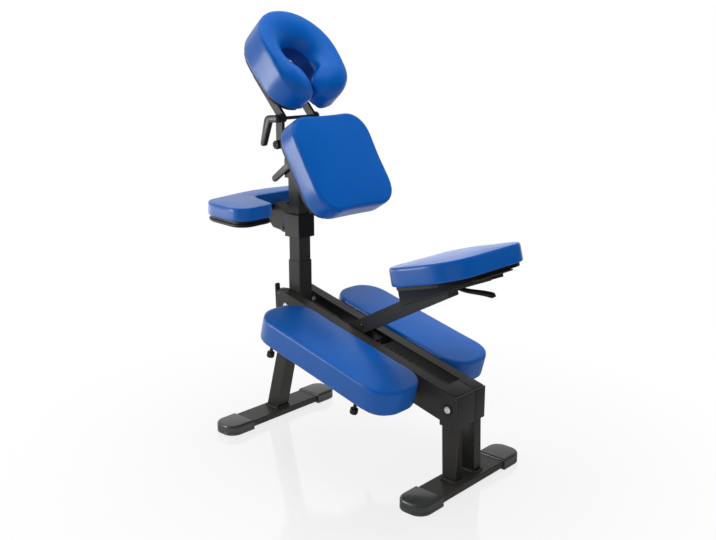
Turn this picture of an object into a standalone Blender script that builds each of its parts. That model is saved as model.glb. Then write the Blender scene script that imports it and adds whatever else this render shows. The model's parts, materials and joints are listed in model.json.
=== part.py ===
"""Portable massage chair.

A sloping beam on a front and a rear leg carries two knee pads, a seat on a strut and a mast.
The mast carries an armrest, a chest pad and a face cradle. Lengths are in metres and +Z is up.
X runs across the chair, and +Y runs from the seat towards the mast.
"""

import math

import bmesh
import bpy
from mathutils import Matrix, Vector

# Clearances
FIT = 0.0003  # between pieces that touch
RUN = 0.0006  # between pieces that slide or turn on each other
ROOT = 0.004  # how far a lug runs into the piece that carries it
WELD = 0.001  # how far a cheek runs into its plate

# Feet
REAR_FOOT_Y = -0.3522
FOOT_SPACING = 0.726
FOOT_LENGTH = 0.459
BAR_WIDTH = 0.082
BAR_HEIGHT = 0.020
BAR_LIFT = 0.006
FOOT_CAP_WIDTH = 0.092
FOOT_CAP_HEIGHT = 0.031
FOOT_CAP_LENGTH = 0.090
FOOT_CAP_CORNER = 0.030
FOOT_CAP_EDGE = 0.005
FLANGE_HEIGHT = 0.006
FLANGE_RIM = 0.005

# Beam: "along" runs up the slope from its rear end, "depth" runs down from its top face
BEAM_SLOPE = math.radians(14.5)
BEAM_LENGTH = 0.679
BEAM_WIDTH = 0.125
BEAM_HEIGHT = 0.085
BEAM_WALL = 0.004
BEAM_REAR_OVERHANG = 0.0195
BEAM_REAR_TOP = 0.2671
SLOT_WIDTH = 0.056
SLOT_START = 0.055
END_CAP_THICKNESS = 0.006
NOSE_THICKNESS = 0.012
NOSE_SILL = 0.010
NOSE_LIFT = 0.008
NOSE_TOP_CORNER = 0.014
NOSE_GAP_CORNER = 0.006
RACK_THICKNESS = 0.004
RACK_DEPTH = 0.014
RACK_HEIGHT = 0.040
RACK_MAST_CLEARANCE = 0.046
NOTCH_START = 0.200
NOTCH_COUNT = 16
NOTCH_PITCH = 0.018
NOTCH_WIDTH = 0.008
NOTCH_DEPTH = 0.005

# Bolts and pins
BOLT_RADIUS = 0.006
BOLT_HEAD_RADIUS = 0.010
BOLT_HEAD_HEIGHT = 0.004
PIN_RADIUS = 0.004
PIN_HEAD_RADIUS = 0.007
PIN_HEAD_HEIGHT = 0.0025

# Legs
REAR_PIVOT_ALONG = 0.0151
REAR_PIVOT_DEPTH = 0.0453
REAR_POST_WIDTH = 0.0215
REAR_POST_DEPTH = 0.0426
REAR_STOP_DROP = 0.043
REAR_STOP_HEIGHT = 0.014
REAR_STOP_REACH = 0.007
FRONT_PIVOT_INSET = 0.018  # from the beam's front end
FRONT_PIVOT_ALONG = BEAM_LENGTH - FRONT_PIVOT_INSET
FRONT_PIVOT_DROP = 0.0395
FRONT_POST_WIDTH = 0.046
FRONT_POST_DEPTH = 0.046
LEG_BRACKET_LENGTH = 0.100
LEG_BRACKET_PLATE = 0.005
LEG_BRACKET_EAR = 0.006
LEG_BRACKET_EAR_DEPTH = 0.038

# Knee pads, in the beam's frame
KNEE_INNER = 0.0633
KNEE_WIDTH = 0.184
KNEE_LENGTH = 0.511
KNEE_CORNER = 0.074
KNEE_ALONG = 0.339
KNEE_PROUD = 0.008
KNEE_PAD_THICKNESS = 0.070
KNEE_BOARD_THICKNESS = 0.009
KNEE_BOARD_INSET = 0.020
KNEE_BRACKET_THICKNESS = 0.005
KNEE_BRACKET_WIDTH = 0.040
KNEE_BRACKET_REACH = 0.158
KNEE_BRACKET_GAP = 0.002
KNEE_BRACKET_SPACING = 0.330
KNEE_BRACKET_ALONG = 0.365
KNEE_KNOB_REACH = 0.146
KNEE_KNOB_STEM = 0.020
KNEE_KNOB_RADIUS = 0.011

# Knobs
KNOB_RADIUS = 0.013
KNOB_HEIGHT = 0.016
KNOB_EDGE = 0.003
KNOB_STEM_RADIUS = 0.005

# Clamp levers
LEVER_HUB = 0.011
LEVER_TIP = 0.007
LEVER_THICKNESS = 0.009

# Mast: heights are measured from its pivot
MAST_PIVOT_INSET = 0.0364  # from the beam's front end
MAST_PIVOT_ALONG = BEAM_LENGTH - MAST_PIVOT_INSET
MAST_PIVOT_DEPTH = 0.0375
MAST_TUBE = 0.052
MAST_WALL = 0.0022
MAST_BELOW = 0.027
MAST_ABOVE = 0.132
MAST_CORNER = 0.006
LEAST_CORNER = 0.001
INNER_WALL = 0.0025
INNER_START = 0.026
MAST_TOP = 0.505
LOCK_LEVER_SIDE = 0.048
LOCK_LEVER_WIDTH = 0.018
LOCK_LEVER_THICKNESS = 0.009
LOCK_LEVER_HUB = 0.007
LOCK_LEVER_LENGTH = 0.068
LOCK_LEVER_DEPTH = 0.058
LOCK_LEVER_LEAN = math.radians(4)

# Armrest
COLLAR_SIZE = 0.065
COLLAR_HEIGHT = 0.068
COLLAR_CORNER = 0.005
ARM_COLLAR_RISE = 0.205
ARM_PIN_RISE = 0.021
ARM_HUB_RADIUS = 0.0115
ARM_BRACKET_WIDTH = 0.038
ARM_BRACKET_REACH = 0.092
ARM_BRACKET_BEND = 0.010
ARM_BRACKET_BEND_SHARE = 0.55  # of the reach
ARM_BRACKET_BEND_DROP = 0.0046
ARM_BRACKET_NOSE = 0.016
ARM_BRACKET_BACK = 0.012
ARM_BRACKET_CORNER = 0.004
ARM_LUG_THICKNESS = 0.006
ARM_PAD_TOP = 0.102
ARM_PAD_THICKNESS = 0.039
ARM_BOARD_THICKNESS = 0.010
ARM_BOARD_INSET = 0.010
ARM_BRACE_LIFT = 0.022
ARM_BRACE_GAP = 0.004
ARM_HALF_WIDTH = 0.288
ARM_END_WIDTH = 0.138
ARM_REAR = -0.070
ARM_FRONT = 0.192
ARM_NOTCH_FRONT = 0.091
ARM_NOTCH_HALF_WIDTH = 0.099
ARM_REAR_CORNER = 0.045
ARM_SHOULDER_IN = 0.030
ARM_SHOULDER_BACK = 0.054
ARM_SHOULDER_CORNER = 0.085
ARM_BOW = 0.006
ARM_BOW_RADIUS = 0.400
ARM_TIP_FORWARD = 0.014
ARM_TIP_CORNER = 0.034
ARM_NOTCH_CORNER = 0.030

# Chest pad
CHEST_SLIDER_SIZE = 0.062
CHEST_SLIDER_HEIGHT = 0.056
CHEST_SLIDER_BELOW_TOP = 0.125
CHEST_SLIDER_RISE = MAST_TOP - CHEST_SLIDER_BELOW_TOP
CHEST_PIN_LIFT = 0.028
CHEST_PIN_RISE = CHEST_SLIDER_RISE + CHEST_PIN_LIFT
CHEST_PIN_BACK = 0.077
CHEST_HUB_RADIUS = 0.012
CHEST_TONGUE_WIDTH = 0.024
CHEST_CHEEK = 0.005
CHEST_CHEEK_LOW = 0.050
CHEST_CHEEK_HIGH = 0.030
CHEST_TILT = math.radians(31)
CHEST_PAD_BACK = 0.0527
CHEST_PAD_DROP = 0.023
CHEST_WIDTH = 0.315
CHEST_HEIGHT = 0.301
CHEST_CORNER = 0.075
CHEST_PAD_THICKNESS = 0.0616
CHEST_BOARD_THICKNESS = 0.012
CHEST_BOARD_INSET = 0.014
CHEST_PLATE_WIDTH = 0.110
CHEST_PLATE_HEIGHT = 0.130
CHEST_PLATE_THICKNESS = 0.004
CHEST_LEVER_LIFT = 0.041
CHEST_LEVER_RISE = CHEST_SLIDER_RISE + CHEST_LEVER_LIFT
CHEST_LEVER_LENGTH = 0.079
CHEST_LEVER_ANGLE = math.radians(-36)

# Face cradle
YOKE_BELOW_TOP = 0.023
YOKE_RISE = MAST_TOP - YOKE_BELOW_TOP
YOKE_ARM_LENGTH = 0.073
YOKE_ARM_WIDTH = 0.026
YOKE_ARM_THICKNESS = 0.010
YOKE_SPAN = 0.150
YOKE_SHAFT_RADIUS = 0.009
YOKE_END_RADIUS = 0.005
CRADLE_TILT = math.radians(41.5)
CRADLE_BAR_WIDTH = 0.024
CRADLE_BAR_THICKNESS = 0.010
CRADLE_BAR_LENGTH = 0.160
CRADLE_CHEEK = 0.006
CRADLE_PLATE_THICKNESS = 0.004
CRADLE_PLATE_LOW = 0.045
CRADLE_PLATE_HIGH = 0.240
CRADLE_PLATE_RAIL = 0.020
FACE_PAD_BACK = 0.0573
FACE_PAD_RISE = 0.1266
FACE_WIDTH = 0.303
FACE_HEIGHT = 0.300
FACE_TAPER = 0.016
FACE_PAD_THICKNESS = 0.095
FACE_CHIN_THINNER = 0.044  # how much thinner the pad is at the tips of its two lobes
FACE_CHIN_START = 0.020  # the height on the pad below which it gets thinner
FACE_BOARD_THICKNESS = 0.010
FACE_BOARD_INSET = 0.014
FACE_HOLE_WIDTH = 0.110
FACE_HOLE_TOP = 0.046
FACE_HOLE_BOTTOM = -0.047
FACE_MOUTH_WIDTH = 0.044
FACE_MOUTH_TOP = -0.079
FACE_MOUTH_CORNER = 0.030
FACE_CHIN_CORNER = 0.080
FACE_CROWN_CORNER = 0.138
FACE_THROAT_CORNER = 0.032
FACE_HOLE_LOW_CORNER = 0.030
FACE_HOLE_HIGH_CORNER = 0.050
CAM_LEVER_LENGTH = 0.084
CAM_LEVER_REACH = 0.050
CAM_LEVER_WIDTH = 0.018
CAM_LEVER_LEAN = 0.006
CAM_LEVER_THICKNESS = 0.016
CAM_LEVER_BEND = 0.004
CAM_LEVER_TIP = 0.008
CAM_LEVER_SHOULDER = 0.010

# Seat: the seat's frame has its origin at the middle of the pad's top
SEAT_PIN_ALONG = 0.378
SEAT_PIN_RISE = 0.015
SEAT_BACK = 0.3022
SEAT_RISE = 0.2518
SEAT_TILT = math.radians(14)
SEAT_WIDTH = 0.361
SEAT_LENGTH = 0.250
SEAT_CORNER = 0.085
SEAT_PAD_THICKNESS = 0.051
SEAT_BOARD_THICKNESS = 0.010
SEAT_BOARD_INSET = 0.014
SEAT_PLATE_WIDTH = 0.150
SEAT_PLATE_REAR = 0.116
SEAT_PLATE_FRONT = 0.190
SEAT_PLATE_THICKNESS = 0.004
SEAT_FLANGE_THICKNESS = 0.004
SEAT_FLANGE_FRONT = 0.054
SEAT_FLANGE_REAR = 0.008
STRUT_WIDTH = 0.044
STRUT_DEPTH = 0.042
STRUT_END = 0.028
STRUT_DIP = 0.0035
STRUT_HEAD_GAP = 0.0008
CLEVIS_WIDTH = 0.019
CLEVIS_LENGTH = 0.075
CARRIAGE_LENGTH = 0.100
CARRIAGE_HEIGHT = 0.030
CARRIAGE_LUG_RADIUS = 0.012
CARRIAGE_POCKET = 0.0045
SEAT_LEVER_BEHIND = 0.012
SEAT_LEVER_DROP = 0.019
SEAT_LEVER_HUB = 0.008
SEAT_LEVER_RADIUS = 0.006
SEAT_LEVER_REACH = 0.120
SEAT_LEVER_BEND_SHARES = ((0.0, 0.0), (0.30, 0.17), (0.60, 0.13), (1.0, 0.28))
SEAT_LEVER_STEPS = 8

# Cushion form
PAD_TUCK = 0.006
PAD_TUCK_SHARE = 0.25  # of the tuck that is left where the side starts to swell
PAD_TUCK_RISE = 0.4  # share of the height up to the widest level
PAD_ROLL = 0.015
THIN_PAD_ROLL = 0.009  # seat and armrest
PAD_CROWN = 0.005
PAD_CROWN_REACH = 0.012
PAD_WIDEST = 0.45  # share of the thickness at which a pad is widest

# Form of arcs and edges
TURN_STEPS = 14
ARC_STEPS = 6
CORNER_STEPS = 3
ROLL_STEPS = 3
ROUND_END = 0.98  # share of the half width that rounds a lug's end
EDGE = 0.002
SHARP_ANGLE = math.radians(32)
EDGE_ANGLE = math.radians(40)
MERGE = 1e-6
LATHE_MERGE = 1e-5
FLAT_ANGLE = 1e-4
MARKER_SIZE = 0.03

FLAT = (0.0, 0.0, 0.0)
SIDE = (math.pi / 2, 0.0, math.pi / 2)  # a plate's own x, y and z turn to Y, Z and X
FRONT = (math.pi / 2, 0.0, 0.0)  # a plate's own x, y and z turn to X, Z and -Y

for leftover in list(bpy.data.objects):
    bpy.data.objects.remove(leftover)

chair = bpy.data.collections.new("massage_chair")
helpers = bpy.data.collections.new("cutters")
bpy.context.scene.collection.children.link(chair)
bpy.context.scene.collection.children.link(helpers)


def finish_of(name, colour, roughness, metallic):
    """A plain Principled material."""
    made = bpy.data.materials.new(name)
    made.use_nodes = True
    shader = made.node_tree.nodes["Principled BSDF"]
    shader.inputs["Base Color"].default_value = (*colour, 1.0)
    shader.inputs["Roughness"].default_value = roughness
    shader.inputs["Metallic"].default_value = metallic
    return made


VINYL = finish_of("blue_vinyl", (0.006, 0.080, 0.370), 0.42, 0.0)
STEEL = finish_of("black_powder_coat", (0.020, 0.021, 0.024), 0.45, 0.0)
PLASTIC = finish_of("black_plastic", (0.012, 0.012, 0.013), 0.50, 0.0)
BOARD = finish_of("black_board", (0.015, 0.015, 0.016), 0.60, 0.0)
ZINC = finish_of("zinc_plated_steel", (0.62, 0.63, 0.65), 0.30, 1.0)


def beam_point(along, depth):
    """The place in the chair's middle plane at this distance up the beam and below its top face."""
    sine = math.sin(BEAM_SLOPE)
    cosine = math.cos(BEAM_SLOPE)
    y = REAR_FOOT_Y - BEAM_REAR_OVERHANG + along * cosine + depth * sine
    z = BEAM_REAR_TOP + along * sine - depth * cosine
    return Vector((0.0, y, z))


def frame_at(name, place, tilt=0.0, parent=None):
    """An empty that stands for a joint or a tilted frame."""
    empty = bpy.data.objects.new(name, None)
    empty.empty_display_size = MARKER_SIZE
    chair.objects.link(empty)
    empty.parent = parent
    empty.location = place
    empty.rotation_euler = (tilt, 0.0, 0.0)
    return empty


def add(obj, parent, place=(0.0, 0.0, 0.0), turn=FLAT, finish=None):
    """Puts an object on its frame and gives it its material."""
    obj.parent = parent
    obj.location = place
    obj.rotation_euler = turn
    if finish:
        obj.data.materials.append(finish)
    return obj


def new_object(name, mesh):
    made = bpy.data.objects.new(name, mesh)
    chair.objects.link(made)
    mesh.shade_smooth()
    mesh.set_sharp_from_angle(angle=SHARP_ANGLE)
    return made


def combine(obj, other, operation):
    """Joins or cuts one object by another, which becomes a hidden helper."""
    step = obj.modifiers.new(other.name, "BOOLEAN")
    step.operation = operation
    step.object = other
    step.solver = "EXACT"
    chair.objects.unlink(other)
    helpers.objects.link(other)
    other.hide_render = True
    other.display_type = "WIRE"


def soften(obj, width, segments=1):
    """Rounds the sharp edges of an object."""
    step = obj.modifiers.new("edges", "BEVEL")
    step.width = width
    step.segments = segments
    step.limit_method = "ANGLE"
    step.angle_limit = EDGE_ANGLE
    return obj


def plate(name, loops, thickness):
    """A flat outline of this thickness, centred on it. Loops after the first are holes."""
    curve = bpy.data.curves.new(name + "_outline", "CURVE")
    curve.dimensions = "2D"
    curve.fill_mode = "BOTH"
    curve.extrude = thickness / 2
    for loop in loops:
        spline = curve.splines.new("POLY")
        spline.points.add(len(loop) - 1)
        for point, (x, y) in zip(spline.points, loop):
            point.co = (x, y, 0.0, 1.0)
        spline.use_cyclic_u = True
    drawn = bpy.data.objects.new(name + "_outline", curve)
    chair.objects.link(drawn)
    graph = bpy.context.evaluated_depsgraph_get()
    mesh = bpy.data.meshes.new_from_object(drawn.evaluated_get(graph))
    bpy.data.objects.remove(drawn)
    shape = bmesh.new()
    shape.from_mesh(mesh)
    bmesh.ops.remove_doubles(shape, verts=shape.verts, dist=MERGE)
    bmesh.ops.dissolve_limit(shape, angle_limit=FLAT_ANGLE, verts=shape.verts, edges=shape.edges)
    bmesh.ops.recalc_face_normals(shape, faces=shape.faces)
    shape.to_mesh(mesh)
    shape.free()
    return new_object(name, mesh)


def box(name, size):
    """A box centred on its origin."""
    shape = bmesh.new()
    bmesh.ops.create_cube(shape, size=1.0, matrix=Matrix.Diagonal((*size, 1.0)))
    mesh = bpy.data.meshes.new(name)
    shape.to_mesh(mesh)
    shape.free()
    return new_object(name, mesh)


def turned(name, profile):
    """A round piece on its own z axis. The profile is (radius, height), from the top down."""
    mesh = bpy.data.meshes.new(name)
    edges = [(i, i + 1) for i in range(len(profile) - 1)]
    mesh.from_pydata([(radius, 0.0, height) for radius, height in profile], edges, [])
    made = bpy.data.objects.new(name, mesh)
    chair.objects.link(made)
    step = made.modifiers.new("lathe", "SCREW")
    step.axis = "Z"
    step.steps = TURN_STEPS
    step.render_steps = TURN_STEPS
    step.use_merge_vertices = True
    step.merge_threshold = LATHE_MERGE
    return made


def bolt(name, grip, radius, head_radius, head_height):
    """A pin with a head at each end of its grip, on its own z axis."""
    end = grip / 2
    top = end + head_height
    return turned(
        name,
        [
            (0.0, top),
            (head_radius, top),
            (head_radius, end),
            (radius, end),
            (radius, -end),
            (head_radius, -end),
            (head_radius, -top),
            (0.0, -top),
        ],
    )


def cross_hole(obj, parent, place, radius, length):
    """Drills a hole along X through an object."""
    drill = turned(obj.name + "_hole", [(0.0, length), (radius, length), (radius, -length), (0.0, -length)])
    add(drill, parent, place, SIDE)
    combine(obj, drill, "DIFFERENCE")


def arc(centre, radius, start, end, steps=ARC_STEPS):
    """Points on a circle between two angles."""
    angles = [start + (end - start) * i / steps for i in range(steps + 1)]
    return [(centre[0] + radius * math.cos(a), centre[1] + radius * math.sin(a)) for a in angles]


def circle(centre, radius, steps=TURN_STEPS):
    return arc(centre, radius, 0.0, 2 * math.pi, steps)[:-1]


def rounded(corners, steps=ARC_STEPS):
    """An outline from (x, y, radius) corners, listed anticlockwise."""
    points = []
    for i, (x, y, radius) in enumerate(corners):
        here = Vector((x, y))
        if radius == 0:
            points.append((x, y))
            continue
        back = (Vector(corners[i - 1][:2]) - here).normalized()
        ahead = (Vector(corners[(i + 1) % len(corners)][:2]) - here).normalized()
        half = back.angle(ahead) / 2
        centre = here + (back + ahead).normalized() * radius / math.sin(half)
        start = here + back * radius / math.tan(half) - centre
        bend = math.copysign(math.pi - 2 * half, ahead.cross(back))
        first = math.atan2(start.y, start.x)
        points += arc(centre, radius, first, first + bend, steps)
    return points


def rectangle(width, height, radius, steps=ARC_STEPS):
    x = width / 2
    y = height / 2
    return rounded([(x, -y, radius), (x, y, radius), (-x, y, radius), (-x, -y, radius)], steps)


def mirrored(half):
    """A whole outline from the corners of its right half, which runs anticlockwise."""
    return half + [(-x, y, radius) for x, y, radius in reversed(half) if x > 0]


def inset(points, distance):
    """The outline moved inwards by a distance."""
    moved = []
    count = len(points)
    for i in range(count):
        here = Vector(points[i])
        back = (here - Vector(points[i - 1])).normalized()
        ahead = (Vector(points[(i + 1) % count]) - here).normalized()
        first = Vector((-back.y, back.x))
        second = Vector((-ahead.y, ahead.x))
        moved.append(tuple(here + (first + second) * distance / (1 + first.dot(second))))
    return moved


def link(length, start_radius, end_radius):
    """The outline round two circles, one at the origin and one up its own x axis."""
    lean = math.asin((start_radius - end_radius) / length)
    turn = math.pi / 2 - lean
    return arc((0, 0), start_radius, turn, 2 * math.pi - turn) + arc((length, 0), end_radius, -turn, turn)


def turned_outline(points, angle, shift=(0.0, 0.0)):
    """The outline turned about the origin, then moved."""
    cosine = math.cos(angle)
    sine = math.sin(angle)
    return [(x * cosine - y * sine + shift[0], x * sine + y * cosine + shift[1]) for x, y in points]


def loft(name, rings):
    """A closed body through rings of as many points each."""
    shape = bmesh.new()
    loops = [[shape.verts.new(point) for point in ring] for ring in rings]
    count = len(rings[0])
    shape.faces.new(reversed(loops[0]))
    shape.faces.new(loops[-1])
    for lower, upper in zip(loops, loops[1:]):
        for i in range(count):
            j = (i + 1) % count
            shape.faces.new((lower[i], lower[j], upper[j], upper[i]))
    mesh = bpy.data.meshes.new(name)
    shape.to_mesh(mesh)
    shape.free()
    return new_object(name, mesh)


def cushion(name, outline, thickness, roll=PAD_ROLL, thinner=0.0, thin_start=0.0):
    """An upholstered pad on its board: tucked in below, rolled over the edge and crowned.
    From thin_start down to its lower edge it may get thinner."""
    widest = PAD_WIDEST * thickness
    shoulder = thickness - PAD_CROWN
    levels = [(PAD_TUCK, 0.0), (PAD_TUCK * PAD_TUCK_SHARE, widest * PAD_TUCK_RISE)]
    for i in range(ROLL_STEPS + 1):
        angle = i / ROLL_STEPS * math.pi / 2
        levels.append((roll * (1 - math.cos(angle)), widest + (shoulder - widest) * math.sin(angle)))
    levels.append((roll + PAD_CROWN_REACH, thickness))
    run = thin_start - min(y for x, y in outline)

    def height_share(y):
        return 1 - thinner / thickness * (max(0.0, thin_start - y) / run) ** 2

    rings = [[(x, y, height * height_share(y)) for x, y in inset(outline, reach)] for reach, height in levels]
    return loft(name, rings)


def leg_profile(lean, top_radius, depth, drop):
    """A leaning post's side: round at its pivot, cut level at this drop below it."""
    turn = math.pi / 2 - lean
    top = arc((0, 0), top_radius, turn - math.pi / 2, turn + math.pi / 2)
    foot = drop * math.tan(lean)
    half = depth / 2 / math.cos(lean)
    return top + [(foot - half, -drop), (foot + half, -drop)]


# Frames
base = frame_at("chair_base", (0.0, 0.0, 0.0))
beam = frame_at("beam_frame", beam_point(0.0, 0.0), BEAM_SLOPE, base)
rear_leg = frame_at("rear_leg_pivot", beam_point(REAR_PIVOT_ALONG, REAR_PIVOT_DEPTH), 0.0, base)
FRONT_PIVOT_DEPTH = BEAM_HEIGHT + FRONT_PIVOT_DROP
front_leg = frame_at("front_leg_pivot", beam_point(FRONT_PIVOT_ALONG, FRONT_PIVOT_DEPTH), 0.0, base)
mast = frame_at("mast_pivot", beam_point(MAST_PIVOT_ALONG, MAST_PIVOT_DEPTH), 0.0, base)
seat_slide = frame_at("seat_pivot", beam_point(SEAT_PIN_ALONG, -SEAT_PIN_RISE), 0.0, base)
seat = frame_at("seat_frame", (0.0, -SEAT_BACK, SEAT_RISE), -SEAT_TILT, seat_slide)
arm_hinge = frame_at(
    "arm_hinge",
    (0.0, COLLAR_SIZE / 2 + ARM_HUB_RADIUS + RUN, ARM_COLLAR_RISE + ARM_PIN_RISE),
    0.0,
    mast,
)
chest = frame_at("chest_hinge", (0.0, -CHEST_PIN_BACK, CHEST_PIN_RISE), -CHEST_TILT, mast)
yoke = frame_at("yoke_pivot", (0.0, 0.0, YOKE_RISE), 0.0, mast)
cradle = frame_at("cradle_axle_frame", (0.0, 0.0, YOKE_ARM_LENGTH), -CRADLE_TILT, yoke)


# Beam
END_LEAN = BEAM_HEIGHT * math.tan(BEAM_SLOPE)  # both ends of the beam are cut upright
beam_side = [
    (-END_LEAN, -BEAM_HEIGHT),
    (BEAM_LENGTH - END_LEAN, -BEAM_HEIGHT),
    (BEAM_LENGTH, 0.0),
    (0.0, 0.0),
]
main_beam = add(plate("main_beam", [beam_side], BEAM_WIDTH), beam, turn=SIDE, finish=STEEL)
CHANNEL_WIDTH = BEAM_WIDTH - 2 * BEAM_WALL
channel = box("beam_channel", (CHANNEL_WIDTH, 2 * BEAM_LENGTH, BEAM_HEIGHT))
add(channel, beam, (0.0, BEAM_LENGTH / 2, -BEAM_WALL - BEAM_HEIGHT / 2))
combine(main_beam, channel, "DIFFERENCE")
slot = box("beam_slot", (SLOT_WIDTH, BEAM_LENGTH, 4 * BEAM_WALL))
add(slot, beam, (0.0, SLOT_START + BEAM_LENGTH / 2, 0.0))
combine(main_beam, slot, "DIFFERENCE")
for along, depth in ((REAR_PIVOT_ALONG, REAR_PIVOT_DEPTH), (MAST_PIVOT_ALONG, MAST_PIVOT_DEPTH)):
    cross_hole(main_beam, base, beam_point(along, depth), BOLT_RADIUS + FIT, BEAM_WIDTH)

BEAM_UPRIGHT = BEAM_HEIGHT / math.cos(BEAM_SLOPE)
beam_end_cap = soften(box("beam_end_cap", (BEAM_WIDTH, END_CAP_THICKNESS, BEAM_UPRIGHT)), EDGE)
rear_end = beam_point(0.0, 0.0)
end_cap_place = rear_end - Vector((0.0, FIT + END_CAP_THICKNESS / 2, BEAM_UPRIGHT / 2))
add(beam_end_cap, base, end_cap_place, finish=PLASTIC)

# The nose closes the beam's front end and leaves a way for the mast to fold forward
NOSE_HALF_GAP = SLOT_WIDTH / 2 + RUN
nose_low = NOSE_LIFT - BEAM_UPRIGHT
nose_outline = rounded(
    [
        (BEAM_WIDTH / 2, nose_low, EDGE),
        (BEAM_WIDTH / 2, 0.0, NOSE_TOP_CORNER),
        (NOSE_HALF_GAP, 0.0, NOSE_GAP_CORNER),
        (NOSE_HALF_GAP, nose_low + NOSE_SILL, 0.0),
        (-NOSE_HALF_GAP, nose_low + NOSE_SILL, 0.0),
        (-NOSE_HALF_GAP, 0.0, NOSE_GAP_CORNER),
        (-BEAM_WIDTH / 2, 0.0, NOSE_TOP_CORNER),
        (-BEAM_WIDTH / 2, nose_low, EDGE),
    ],
    CORNER_STEPS,
)
front_end = beam_point(BEAM_LENGTH, 0.0)
beam_nose = plate("beam_nose", [nose_outline], NOSE_THICKNESS)
add(beam_nose, base, front_end + Vector((0.0, FIT + NOSE_THICKNESS / 2, 0.0)), FRONT, STEEL)

# The rack is a notched upright plate in the slot, and the seat's lock bites into it
rack_top = -RACK_DEPTH
rack_low = -RACK_DEPTH - RACK_HEIGHT
rack_front = MAST_PIVOT_ALONG - RACK_MAST_CLEARANCE
rack_outline = [
    (rack_low * math.tan(BEAM_SLOPE) + FIT, rack_low),
    (rack_front, rack_low),
    (rack_front, rack_top),
]
for i in reversed(range(NOTCH_COUNT)):
    notch = NOTCH_START + i * NOTCH_PITCH
    rack_outline.append((notch + NOTCH_WIDTH, rack_top))
    rack_outline.append((notch + NOTCH_WIDTH, rack_top - NOTCH_DEPTH))
    rack_outline.append((notch, rack_top - NOTCH_DEPTH))
    rack_outline.append((notch, rack_top))
rack_outline.append((rack_top * math.tan(BEAM_SLOPE) + FIT, rack_top))
rack_bolt_hole = circle((REAR_PIVOT_ALONG, -REAR_PIVOT_DEPTH), BOLT_RADIUS + FIT)
seat_rack = plate("seat_rack", [rack_outline, rack_bolt_hole], RACK_THICKNESS)
add(seat_rack, beam, turn=SIDE, finish=STEEL)

# The front leg hangs between two ears on a plate under the beam
front_leg_bracket = box("front_leg_bracket", (BEAM_WIDTH, LEG_BRACKET_LENGTH, LEG_BRACKET_PLATE))
plate_depth = BEAM_HEIGHT + FIT + LEG_BRACKET_PLATE / 2
plate_along = BEAM_LENGTH - END_LEAN - LEG_BRACKET_LENGTH / 2
add(front_leg_bracket, beam, (0.0, plate_along, -plate_depth), finish=STEEL)
EAR_INNER = FRONT_POST_WIDTH / 2 + RUN
ear_half = LEG_BRACKET_EAR_DEPTH / 2
ear_outline = rounded(
    [
        (FRONT_PIVOT_ALONG - ear_half, -FRONT_PIVOT_DEPTH - ear_half, ear_half * ROUND_END),
        (FRONT_PIVOT_ALONG + ear_half, -FRONT_PIVOT_DEPTH - ear_half, ear_half * ROUND_END),
        (FRONT_PIVOT_ALONG + ear_half, -plate_depth, 0.0),
        (FRONT_PIVOT_ALONG - ear_half, -plate_depth, 0.0),
    ]
)
for side in (-1, 1):
    ear = plate("leg_bracket_ear", [ear_outline], LEG_BRACKET_EAR)
    add(ear, beam, (side * (EAR_INNER + LEG_BRACKET_EAR / 2), 0.0, 0.0), SIDE)
    combine(front_leg_bracket, ear, "UNION")
cross_hole(front_leg_bracket, front_leg, (0.0, 0.0, 0.0), BOLT_RADIUS + FIT, BEAM_WIDTH)

# Pivot bolts of the frame
wall_grip = BEAM_WIDTH + 2 * FIT
ear_grip = 2 * (EAR_INNER + LEG_BRACKET_EAR + FIT)
for name, frame, grip, finish in (
    ("rear_leg_bolt", rear_leg, wall_grip, ZINC),
    ("mast_bolt", mast, wall_grip, ZINC),
    ("front_leg_bolt", front_leg, ear_grip, ZINC),
):
    add(bolt(name, grip, BOLT_RADIUS, BOLT_HEAD_RADIUS, BOLT_HEAD_HEIGHT), frame, turn=SIDE, finish=finish)


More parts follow.
